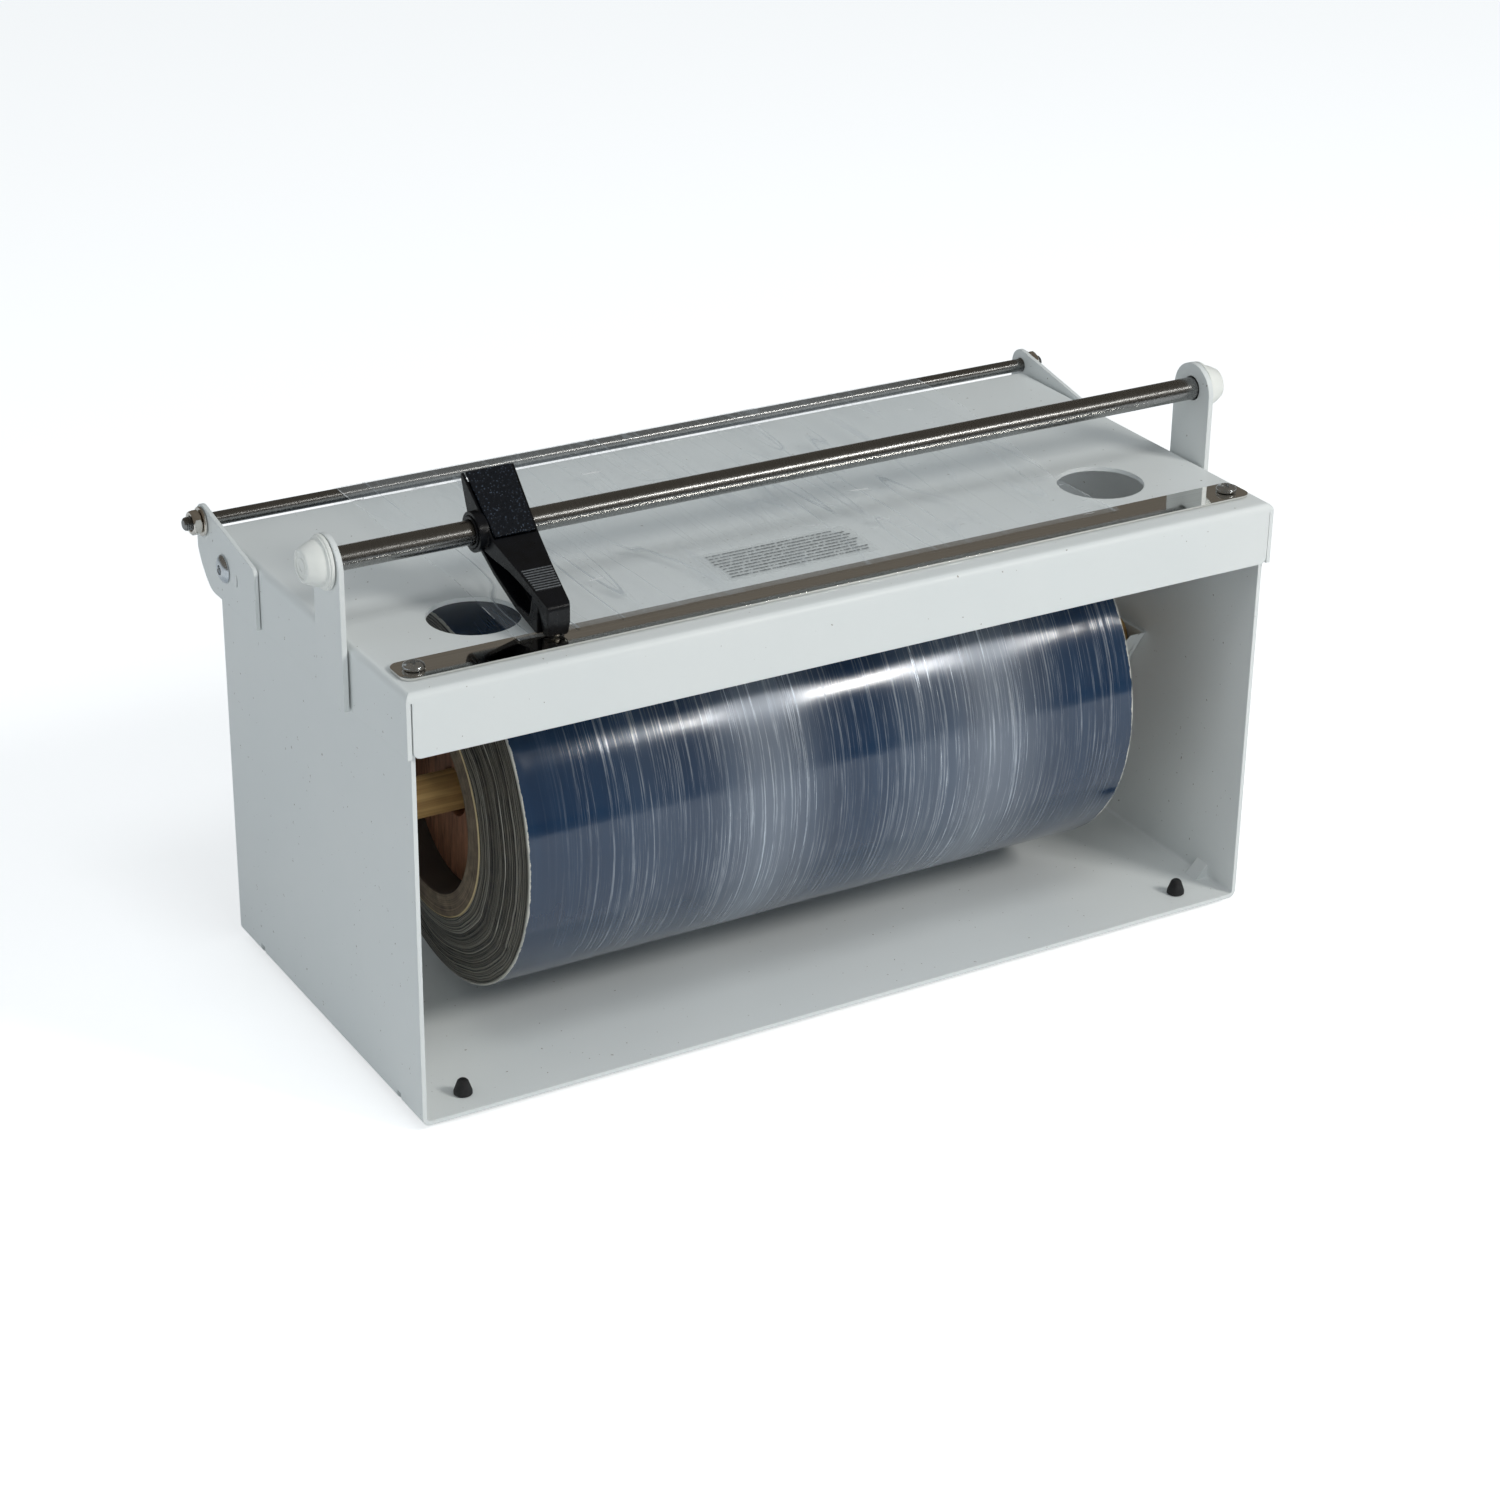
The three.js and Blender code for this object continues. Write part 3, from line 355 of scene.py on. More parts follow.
def smooth_black(name):
    """Glossy black moulding, and its plain colour, over which the ribbed plastic paints pale highlights on
    its rib crests.
    """
    s = Surface(name, (0.004, 0.005, 0.007), 0.3, specular_ior_level=0.42)
    s.rounded_edges(0.7 * MM)
    black = s.ramp(s.noise(150), [(0.3, (0.0025, 0.003, 0.004)), (0.75, (0.005, 0.006, 0.009))])
    s.set("Base Color", black)
    s.set("Roughness", s.span(s.noise(500), 0.3, 0.7, 0.24, 0.38))
    s.bump(s.noise(1800, 3), 0.012 * MM)
    return s, black


def ribbed_plastic(cutter, low_end, high_end):
    """Black plastic whose fine ribs, the parts above the line between two points, have their crests painted
    pale as a painted highlight.
    """
    s, black = smooth_black("ribbed_black_plastic")
    to_piece = cutter.matrix_world.inverted()
    start, end = to_piece @ Vector(low_end), to_piece @ Vector(high_end)
    along = (end - start).normalized()
    up = Vector((0, -along.z, along.y))
    offset = s.node("VectorMath", {0: s.at, 1: tuple(start)}, operation="SUBTRACT").outputs[0]
    height = s.node("VectorMath", {0: offset, 1: tuple(up)}, operation="DOT_PRODUCT").outputs["Value"]
    place = s.node("VectorMath", {0: offset, 1: tuple(along)}, operation="DOT_PRODUCT").outputs["Value"]
    # Painted highlight: the crests of the ribs, within their stretch along the nose, are painted pale grey
    # as if lit, and noise breaks the highlight up.
    raised = s.span(height, 0.22 * MM, 0.40 * MM)
    ribs_start, ribs_end = 6 * MM, 24 * MM
    after_start = s.span(place, ribs_start, ribs_start + 0.5 * MM)
    before_end = s.span(place, ribs_end, ribs_end + 0.5 * MM, 1.0, 0.0)
    highlight_breakup = s.span(s.noise(900, 3), 0.3, 0.7, 0.5, 1.0)
    painted_crest_highlight = s.product(raised, after_start, before_end, highlight_breakup)
    s.set("Base Color", s.mix(painted_crest_highlight, black, (0.17, 0.18, 0.19)))
    return s.material


def grained_plastic():
    """Black plastic with a leathery grain, its raised grain painted bluish grey as a painted highlight."""
    s = Surface("grained_black_plastic", (0.008, 0.010, 0.014), 0.34, specular_ior_level=0.5)
    spread = s.node("Mapping", {"Vector": s.at, "Scale": (1.0, 1.15, 1.0)}).outputs[0]
    wobble = s.noise(1300, 2)
    cells = s.node("TexVoronoi", {"Vector": spread, "Scale": 900}, feature="SMOOTH_F1")
    grain = s.total(cells.outputs["Distance"], s.product(wobble, 0.35))
    # Painted highlight: the raised parts of the grain cells are painted bluish grey, as where they catch the
    # light.
    tops = s.span(grain, 0.42, 0.30)
    s.set("Base Color", s.mix(tops, (0.004, 0.006, 0.010), (0.050, 0.068, 0.098)))
    s.set("Roughness", s.span(s.noise(700, 3), 0.3, 0.7, 0.24, 0.38))
    s.bump(grain, -0.30 * MM)
    s.bump(s.noise(2600, 2), 0.03 * MM)
    return s.material


def rubber():
    s = Surface("black_rubber", (0.014, 0.014, 0.015), 0.62)
    s.set("Base Color", s.ramp(s.noise(500), [(0.3, (0.010, 0.010, 0.011)), (0.7, (0.024, 0.024, 0.025))]))
    s.bump(s.noise(1500, 3), 0.04 * MM)
    return s.material


def drawn_steel():
    """Bright bar with fine rings round it and cloudy patches."""
    colour, roughness = (0.34, 0.34, 0.335), 0.27
    s = Surface("drawn_steel", colour, roughness, metallic=1.0)
    rings = s.noise(1, 5, at=s.stretched((1500, 60, 60)), roughness=0.7)
    clouds = s.noise(1, 3, at=s.stretched((30, 90, 90)))
    grains = s.noise(1500, 3)
    dark = tuple(c * 0.78 for c in colour)
    tone = s.ramp(rings, [(0.3, dark), (0.7, colour)])
    s.set("Base Color", s.mix(s.span(clouds, 0.35, 0.7, 0.0, 0.4), tone, dark))
    s.set("Roughness", s.span(grains, 0.3, 0.7, roughness * 0.85, roughness * 1.2))
    s.bump(rings, 0.0012 * MM)
    s.bump(grains, 0.0008 * MM)
    return s.material


def polished_steel():
    """A mirror finish with very fine polishing lines along it and a few smears."""
    s = Surface("mirror_steel", (0.80, 0.78, 0.74), 0.05, metallic=1.0)
    lines = s.noise(1, 4, at=s.stretched((14, 1500, 1500)), roughness=0.65)
    smears = s.noise(35, 4)
    s.set("Base Color", s.ramp(lines, [(0.3, (0.76, 0.75, 0.72)), (0.7, (0.90, 0.89, 0.86))]))
    s.set("Roughness", s.span(smears, 0.35, 0.75, 0.02, 0.08))
    s.bump(lines, 0.001 * MM)
    s.bump(s.noise(11, 2), 0.03 * MM)
    return s.material


def plated(name, dark, light, roughness):
    """Plated hardware, a little mottled."""
    s = Surface(name, light, roughness, metallic=1.0)
    s.set("Base Color", s.ramp(s.noise(260, 4), [(0.3, dark), (0.7, light)]))
    s.set("Roughness", s.span(s.noise(800, 3), 0.3, 0.7, roughness * 0.75, roughness * 1.3))
    s.bump(s.noise(1400, 3), 0.01 * MM)
    return s.material


def wound_film():
    """Tight glossy film: deep blue, with hair-fine pale lines round it and two hazier bands."""
    s = Surface("wound_film", (0.02, 0.07, 0.16), 0.2)
    s.shader.inputs["IOR"].default_value = 1.75
    along = s.across_roll()[1]
    from_middle = s.math("ABSOLUTE", along)
    sway = s.noise(1, 2, at=s.stretched((22, 8, 8)))
    slanted = s.total(along, s.product(sway, 12 * MM))
    fine = s.noise(1, 5, at=s.stretched((1150, 16, 16)), roughness=0.7, distortion=0.15)
    dashes = s.noise(1, 3, at=s.stretched((1500, 120, 120)), roughness=0.6)
    coarse = s.noise_along(slanted, 330, 3, 0.6)

    mean_sway = 6 * MM
    haze = 0.0
    for place, width, height in ((-36, 22, 1.0), (78, 22, 1.0), (40, 14, 0.35), (-90, 16, 0.15)):
        haze = s.total(s.product(s.bell(slanted, place * MM + mean_sway, width * MM), height), haze)

    body = s.span(from_middle, ROLL_HALF - 1.5 * MM, ROLL_HALF - 4.5 * MM, 0.15, 1.0)
    past_left_end = s.span(along, 12 * MM - ROLL_HALF, 42 * MM - ROLL_HALF, 0.05, 1.0)
    present = s.product(body, past_left_end)
    lines = s.product(s.span(fine, 0.52, 0.64), s.span(coarse, 0.38, 0.62, 0.25, 1.0))
    broken = s.product(lines, s.span(dashes, 0.34, 0.58, 0.35, 1.0))
    scratches = s.product(s.span(dashes, 0.68, 0.74), s.span(fine, 0.5, 0.62), 0.6)
    pale = s.product(broken, s.total(s.product(haze, 0.60), 0.42))
    pale = s.total(pale, s.product(haze, 0.20))
    pale = s.product(s.math("MAXIMUM", pale, scratches), present)

    rim_wander = s.noise(1, 5, at=s.stretched((120, 90, 90)), roughness=0.8)
    rim_start = s.span(rim_wander, 0.3, 0.7, ROLL_HALF - 0.3 * MM, ROLL_HALF - 1.5 * MM)
    rim = s.span(s.math("SUBTRACT", from_middle, rim_start), 0.0, 0.3 * MM)
    shades = [(0.3, (0.006, 0.022, 0.056)), (0.7, (0.012, 0.036, 0.080))]
    deep = s.ramp(s.noise(1, 3, at=s.stretched((55, 7, 7))), shades)
    tone = s.mix(s.math("MINIMUM", pale, 0.9), deep, (0.72, 0.78, 0.86))
    s.set("Base Color", s.mix(rim, tone, (0.52, 0.51, 0.46)))
    s.set("Metallic", s.product(s.math("MINIMUM", pale, 0.85), s.span(rim, 0.0, 1.0, 1.0, 0.0)))
    s.set("Roughness", s.total(s.product(haze, 0.16), s.total(s.product(pale, 0.16), 0.12)))
    rough_here = s.total(s.product(haze, 0.8), s.product(lines, 0.45))
    s.bump(s.product(fine, rough_here, present), 0.022 * MM)
    s.bump(s.product(dashes, rough_here, present), 0.010 * MM)
    return s.material


def roll_end():
    """The edges of thousands of windings: olive-grey rings and pale lines, parted by grooves painted
    near-black as painted shade.
    """
    s = Surface("roll_end", (0.09, 0.08, 0.06), 0.42)
    radius = s.across_roll()[0]
    sway = s.noise(1, 2, at=s.stretched((30, 24, 24)))
    shifted = s.total(radius, s.product(sway, 4.5 * MM))
    broad = s.noise_along(shifted, 230, 2, 0.5)
    middle_rings = s.noise_along(shifted, 1150, 3, 0.6)
    thin = s.noise_along(shifted, 2400, 2, 0.7)
    deep_grooves, thin_grooves = s.span(middle_rings, 0.50, 0.45), s.product(s.span(thin, 0.46, 0.40), 0.85)
    groove = s.math("MAXIMUM", deep_grooves, thin_grooves)
    pale = s.product(s.span(thin, 0.54, 0.64), s.span(middle_rings, 0.46, 0.58))
    olives = [(0.32, (0.085, 0.080, 0.066)), (0.50, (0.165, 0.155, 0.128)), (0.68, (0.26, 0.245, 0.20))]
    tone = s.mix(pale, s.ramp(broad, olives), (0.50, 0.48, 0.42))
    # Painted shade: the grooves between windings are painted near-black for the shadow down in them; the
    # bump below also sinks them.
    tone = s.mix(groove, tone, (0.008, 0.007, 0.006))
    dust = s.span(s.noise(160, 5), 0.42, 0.75, 0.0, 0.4)
    tone = s.mix(dust, tone, (0.17, 0.145, 0.11))
    outermost = s.span(radius, ROLL_RADIUS - 1.2 * MM, ROLL_RADIUS - 0.6 * MM)
    s.set("Base Color", s.mix(outermost, tone, (0.48, 0.47, 0.42)))
    s.set("Roughness", s.span(thin, 0.3, 0.7, 0.30, 0.55))
    s.bump(s.math("SUBTRACT", middle_rings, groove), 0.40 * MM)
    return s.material


def cardboard():
    """Grey-brown board: a tan outer ply seen as a fine line, and a bore painted dark as painted shade."""
    s = Surface("cardboard", (0.26, 0.18, 0.12), 0.85)
    radius = s.across_roll()[0]
    fibres = s.noise(900, 5, at=s.stretched((1, 0.25, 0.25)))
    plies = s.noise_along(radius, 1500, 3, 0.6)
    blotches = s.span(s.noise(45), 0.4, 0.7, 0.0, 0.5)
    both = s.total(s.product(fibres, 0.5), s.product(plies, 0.5))
    browns = [(0.34, (0.085, 0.064, 0.045)), (0.52, (0.20, 0.155, 0.11)), (0.72, (0.34, 0.28, 0.20))]
    tone = s.mix(blotches, s.ramp(both, browns), (0.14, 0.105, 0.08))
    outer_ply = s.span(radius, CORE_RADIUS - 0.75 * MM, CORE_RADIUS - 0.45 * MM)
    tone = s.mix(outer_ply, tone, (0.62, 0.50, 0.28))
    # Painted shade: the tube's inner wall is painted dark brown, standing for the shadow inside the tube.
    bore = s.span(radius, BORE_RADIUS + 0.6 * MM, BORE_RADIUS + 0.1 * MM)
    s.set("Base Color", s.mix(bore, tone, (0.055, 0.040, 0.030)))
    s.bump(both, 0.22 * MM)
    return s.material


def wood(name, light, dark, stretch, roughness):
    s = Surface(name, light, roughness)
    grain = s.noise(1, 6, at=s.stretched(stretch), roughness=0.62, distortion=0.6)
    pores = s.noise(1, 3, at=s.stretched(tuple(2.6 * c for c in stretch)))
    between = tuple((a + b) / 2 for a, b in zip(light, dark))
    tone = s.ramp(grain, [(0.33, dark), (0.5, between), (0.66, light)])
    s.set("Base Color", s.mix(s.span(pores, 0.58, 0.72, 0.0, 0.45), tone, dark))
    s.set("Roughness", s.span(grain, 0.3, 0.7, roughness * 1.15, roughness * 0.9))
    s.bump(grain, 0.10 * MM)
    return s.material


def clear_film():
    """Stretch film: nearly nothing face on, with painted shade along long soft folds, a painted sheen at
    glancing angles and a few painted white glints.
    """
    s = Surface("clear_film", (0.80, 0.86, 0.90), 0.06, specular_ior_level=0.7)
    sideways = s.node("SeparateXYZ", {0: s.at}).outputs["X"]
    folds = 0.0
    for turn, scale, middle_x, thickness, strength in (
        (0.30, (46, 5, 5), -0.12, 0.014, 0.95), (-0.75, (52, 5, 5), 0.02, 0.013, 0.8),
        (-0.35, (34, 4, 4), 0.10, 0.012, 0.9), (0.85, (40, 6, 6), -0.04, 0.008, 0.6),
    ):
        fan = s.noise(1, 1, at=s.stretched(scale, (0, 0, turn)), roughness=0.4, distortion=0.12)
        line = s.span(s.math("ABSOLUTE", s.math("SUBTRACT", fan, 0.5)), 0.0, thickness, 1.0, 0.0)
        here = s.bell(sideways, middle_x, 90 * MM)
        folds = s.math("MAXIMUM", s.product(line, here, strength), folds)
    folds = s.product(folds, s.span(s.noise(14, 2), 0.40, 0.60, 0.25, 1.0))
    # Painted highlight: a few short streaks are painted white and nearly opaque, as glints of light off the
    # film.
    streaks = s.noise(1, 2, at=s.stretched((60, 420, 420), (0, 0, 0.25)), roughness=0.5)
    glints = s.product(s.span(streaks, 0.66, 0.70), s.span(s.noise(26, 1), 0.57, 0.64))
    # Painted shade: the fold lines are painted grey and made more opaque, standing for the shade and darker
    # reflection along each crease.
    tone = s.mix(folds, (0.80, 0.86, 0.90), (0.30, 0.34, 0.38))
    s.set("Base Color", s.mix(glints, tone, (1.0, 1.0, 1.0)))
    # Painted sheen: the film is made more opaque and pale towards glancing angles, where it would reflect
    # more; noise adds an uneven haze of its own.
    facing = s.node("LayerWeight", {"Blend": 0.25}).outputs["Facing"]
    veil = s.total(s.product(facing, 0.12), s.span(s.noise(9, 2), 0.35, 0.65, 0.04, 0.14))
    veiled_folds = s.total(s.product(folds, 0.58), veil)
    s.set("Alpha", s.math("MAXIMUM", veiled_folds, s.product(glints, 0.9)))
    s.bump(s.noise(1, 3, at=s.stretched((70, 16, 16), (0, 0, -0.3)), distortion=0.2), 0.7 * MM)
    return s.material


def film_edge():
    """The cut and rolled edges of the film: a broken whitish line."""
    s = Surface("film_edge", (0.92, 0.95, 0.97), 0.25)
    broken = s.noise(1, 4, at=s.stretched((240, 90, 90)), roughness=0.7)
    s.set("Base Color", s.ramp(broken, [(0.3, (0.60, 0.66, 0.70)), (0.6, (0.95, 0.97, 0.98))]))
    s.set("Alpha", s.span(broken, 0.46, 0.68, 0.06, 0.8))
    s.bump(broken, 0.3 * MM)
    return s.material


def clear_label():
    """A clear sticker, seen only as a faint satin veil."""
    s = Surface("clear_label", (0.80, 0.83, 0.82), 0.25)
    s.set("Roughness", s.span(s.noise(200, 3), 0.3, 0.7, 0.2, 0.35))
    s.set("Alpha", s.span(s.noise(90, 3), 0.3, 0.7, 0.05, 0.11))
    s.bump(s.noise(60, 2), 0.05 * MM)
    return s.material


def label_ink():
    s = Surface("label_ink", (0.08, 0.085, 0.085), 0.5)
    s.set("Base Color", s.ramp(s.noise(900, 3), [(0.3, (0.05, 0.055, 0.055)), (0.7, (0.16, 0.165, 0.165))]))
    s.bump(s.noise(2000, 2), 0.01 * MM)
    return s.material


WHITE = white_paint()
WHITE_PLASTIC = white_plastic()
BLACK = smooth_black("black_plastic")[0].material
GRAINED = grained_plastic()
RUBBER = rubber()
STEEL = drawn_steel()
MIRROR = polished_steel()
ZINC = plated("zinc_plate", (0.62, 0.67, 0.72), (0.86, 0.89, 0.92), 0.22)
NICKEL = plated("nickel_plate", (0.66, 0.62, 0.56), (0.92, 0.88, 0.82), 0.18)
FILM_SIDE = wound_film()
FILM_END = roll_end()
BOARD = cardboard()
PLUG_WOOD = wood("plug_wood", (0.42, 0.19, 0.10), (0.17, 0.068, 0.036), (60, 420, 60), 0.62)
DOWEL_WOOD = wood("dowel_wood", (0.62, 0.40, 0.16), (0.36, 0.20, 0.07), (12, 420, 420), 0.5)
CLEAR = clear_film()
CLEAR_EDGE = film_edge()
LABEL = clear_label()
INK = label_ink()

# ---------------------------------------------------------------- CAD nodes that stay


def soften(node, material, width, segments=2):
    """Gives a CAD node its material and rounds its sharp edges by modifiers alone."""
    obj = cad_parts[node]
    obj.data.materials.clear()
    obj.data.materials.append(material)
    if "custom_normal" in obj.data.attributes:
        obj.data.attributes.remove(obj.data.attributes["custom_normal"])
    obj.data.shade_smooth()
    weld = obj.modifiers.new("weld", "WELD")
    weld.merge_threshold = 0.01 * MM
    flat = obj.modifiers.new("flat_faces", "DECIMATE")
    flat.decimate_type = "DISSOLVE"
    flat.angle_limit = math.radians(1)
    bevel = obj.modifiers.new("edges", "BEVEL")
    bevel.width = width
    bevel.segments = segments
    bevel.limit_method = "ANGLE"
    bevel.angle_limit = math.radians(35)
    bevel.harden_normals = True


for shell in ("base_shell", "top_cover"):
    soften(shell, WHITE, 0.35 * MM)
soften("cutting_strip", MIRROR, 0.3 * MM)
soften("cutter_rail", STEEL, 0.5 * MM)
soften("cutter_bush", BLACK, 0.2 * MM)
NOSE_TOP_FRONT = RAIL + Vector((0, -49.1 * MM, -16.5 * MM))
NOSE_TOP_BACK = RAIL + Vector((0, -11.8 * MM, -0.5 * MM))
soften("cutter_body", ribbed_plastic(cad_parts["cutter_body"], NOSE_TOP_FRONT, NOSE_TOP_BACK), 0.3 * MM)
soften("cutter_grip_pad", GRAINED, 0.3 * MM)
soften("cutter_blade", MIRROR, 0.05 * MM, 1)
soften("cutter_glide", MIRROR, 0.15 * MM)
for name in SIDES:
    soften(f"rail_ear_{name}", WHITE, 0.35 * MM)
    soften(f"guide_bracket_{name}", WHITE, 0.3 * MM)
    soften(f"shaft_cradle_{name}", WHITE, 0.3 * MM)
    for row in ("front", "rear"):
        soften(f"rubber_foot_{row}_{name}", RUBBER, 0.2 * MM)
soften("instruction_label", LABEL, 0.03 * MM, 1)

# ---------------------------------------------------------------- mesh helpers


def new_piece(name, points, faces, materials, body, nodes, smooth=True):
    """A mesh that moves with a body and stands for the CAD nodes it replaces."""
    mesh = bpy.data.meshes.new(name)
    mesh.from_pydata([tuple(p) for p in points], [], faces)
    mesh.validate()
    if smooth:
        mesh.shade_smooth()
    for material in materials:
        mesh.materials.append(material)
    obj = bpy.data.objects.new(name, mesh)
    bpy.context.scene.collection.objects.link(obj)
    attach(obj, body)
    if nodes:
        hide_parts(*nodes)
    return obj


def still(x, radius, angle):
    return 0, 0


def turned(profile, centre, segments, shift=still):
    """Points and faces of a body turned about the X axis. Profile points are (x, radius).
    shift(x, radius, angle) may move a point: it gives (dx, dradius)."""
    points, rings = [], []
    for x, radius in profile:
        if radius == 0:
            rings.append([len(points)] * segments)
            points.append(centre + Vector((x, 0, 0)))
            continue
        rings.append(list(range(len(points), len(points) + segments)))
        for i in range(segments):
            angle = 2 * math.pi * i / segments
            dx, dr = shift(x, radius, angle)
            r = radius + dr
            points.append(centre + Vector((x + dx, r * math.cos(angle), r * math.sin(angle))))
    faces = []
    for a, b in zip(rings, rings[1:]):
        for i in range(segments):
            j = (i + 1) % segments
            face = tuple(dict.fromkeys((a[i], a[j], b[j], b[i])))
            if len(face) > 2:
                faces.append(face)
    return points, faces


def sharpen(obj, degrees):
    obj.data.set_sharp_from_angle(angle=math.radians(degrees))


# ---------------------------------------------------------------- film roll


def make_roll():
    """Film wound a little unevenly: each end is a shallow cone of stepped rings with torn edges."""
    bore = CORE_RADIUS + 0.25 * MM
    outer = ROLL_RADIUS
    end_steps, side_steps, segments = 120, 150, 256

    def end_profile(side):
        rings = []
        for i in range(end_steps):
            t = i / (end_steps - 1)
            rise = ROLL_RISE * ((1 - t) - 0.10 * math.sin(math.pi * t))
            rings.append((side * (ROLL_HALF - 0.1 * MM + rise), bore + (outer - 0.5 * MM - bore) * t))
        return rings

    side_profile = []
    for i in range(side_steps):
        t = i / (side_steps - 1)
        x = (2 * t - 1) * (ROLL_HALF - 0.4 * MM)
        edge = min(1, (1 - abs(2 * t - 1)) * 30)
        ridge = 0.03 * noise.noise(Vector((x * 60, 0.4, 0))) + 0.006 * noise.noise(Vector((x * 420, 2.4, 0)))
        side_profile.append((x, outer - (0.04 + ridge) * MM * edge))
    left, right = end_profile(-1), end_profile(1)
    profile = left + side_profile + right[::-1] + [left[0]]

    def shift(x, radius, angle):
        if radius < bore + 0.1 * MM:
            return 0, 0
        turn = Vector((math.cos(angle), math.sin(angle), 0.3 * math.copysign(1, x)))
        if radius < outer - 0.4 * MM:
            place = radius / MM + 1.8 * noise.noise(turn * 0.9)
            step = 0.50 * noise.noise(Vector((place * 0.55, 3.1, x)))
            step += 0.38 * noise.noise(Vector((place * 1.5, 7.7, x)))
            tall = min(1, (outer - radius) / (2 * MM)) * min(1, (radius - bore) / (1.5 * MM))
            return math.copysign((min(0.2, step) - 0.1) * MM * tall, x), 0
        if abs(x) > ROLL_HALF - 1.2 * MM:
            torn = noise.noise(turn * 7) + 0.6 * noise.noise(turn * 23)
            return math.copysign(min(0.0, torn) * 0.5 * MM, x), min(0.0, torn) * 0.35 * MM
        place = Vector((x * 160 + 3 * math.sin(angle), math.cos(angle) * 1.5, math.sin(angle) * 1.5))
        wave = noise.noise(place)
        return 0, min(0.0, -0.02 * MM + 0.02 * MM * wave)

    points, faces = turned(profile, ROLL, segments, shift)
    films = [FILM_SIDE, FILM_END]
    roll = new_piece("wound_film_roll", points, faces, films, "roll", ["film_roll"])
    side_from = (len(left) - 1) * segments
    side_to = (len(left) + side_steps) * segments
    for polygon in roll.data.polygons:
        polygon.material_index = 0 if side_from <= polygon.index < side_to else 1
    sharpen(roll, 50)


def make_core():
    """A spiral-wound tube: worn rounded lips and a slightly uneven wall."""
    inner, outer = BORE_RADIUS, CORE_RADIUS
    half = extent("cardboard_core").x / 2
    lip = 0.7 * MM
    end = []
    for i in range(9):
        t = i / 8
        dent = 0.22 * MM * noise.noise(Vector((t * 9, 1.5, 4)))
        end.append((half - 0.1 * MM - abs(dent), inner + lip + (outer - inner - 2 * lip) * t))
    right = [
        (half - 2 * lip, inner), (half - lip, inner + 0.15 * lip), (half - 0.3 * lip, inner + 0.5 * lip),
        *end,
        (half - 0.3 * lip, outer - 0.4 * lip), (half - lip, outer - 0.1 * lip), (half - 2 * lip, outer),
    ]
    left = [(-x, r) for x, r in right][::-1]
    profile = right + left + [right[0]]

    def shift(x, radius, angle):
        spiral = noise.noise(Vector((x * 40 + angle * 2, radius * 300, math.sin(angle) * 3)))
        return -math.copysign(0.12 * MM * abs(spiral), x), -0.05 * MM * abs(spiral)

    points, faces = turned(profile, ROLL, 160, shift)
    core = new_piece("spiral_wound_core", points, faces, [BOARD], "roll", ["cardboard_core"])
    sharpen(core, 50)


def make_plug(name):
    """A turned wooden disc with eased edges and a bored hole, larger than the dowel."""
    low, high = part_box(f"core_plug_{name}")
    centre = Vector((0, ROLL.y, ROLL.z))
    hole, rim = PLUG_HOLE, (high.z - low.z) / 2
    ease = 0.7 * MM
    profile = [
        (low.x, hole + ease), (low.x + 0.2 * ease, hole + 0.3 * ease), (low.x + ease, hole),
        (high.x - ease, hole), (high.x - 0.2 * ease, hole + 0.3 * ease), (high.x, hole + ease),
        (high.x, rim - ease), (high.x - 0.3 * ease, rim - 0.3 * ease), (high.x - ease, rim),
        (low.x + ease, rim), (low.x + 0.3 * ease, rim - 0.3 * ease), (low.x, rim - ease),
        (low.x, hole + ease),
    ]
    points, faces = turned(profile, centre, 128)
    node = f"core_plug_{name}"
    plug = new_piece(f"turned_plug_{name}", points, faces, [PLUG_WOOD], "roll", [node])
    sharpen(plug, 50)


def make_dowel():
    """A hardwood rod, very slightly uneven, with eased ends."""
    low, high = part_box("roll_shaft")
    centre = Vector((0, middle("roll_shaft").y, middle("roll_shaft").z))
    radius = (high.z - low.z) / 2
    ease = 1.2 * MM
    steps = 40
    profile = [(low.x, 0), (low.x, radius - ease), (low.x + 0.4 * ease, radius - 0.4 * ease)]
    for i in range(steps + 1):
        x = low.x + ease + (high.x - low.x - 2 * ease) * i / steps
        profile.append((x, radius - 0.03 * MM * abs(noise.noise(Vector((x * 60, 0, 5))))))
    profile += [(high.x - 0.4 * ease, radius - 0.4 * ease), (high.x, radius - ease), (high.x, 0)]
    points, faces = turned(profile, centre, 96)
    dowel = new_piece("wooden_dowel", points, faces, [DOWEL_WOOD], "shaft", ["roll_shaft"])
    sharpen(dowel, 40)


make_roll()
make_core()
make_dowel()
for name in SIDES:
    make_plug(name)

# ---------------------------------------------------------------- rail caps


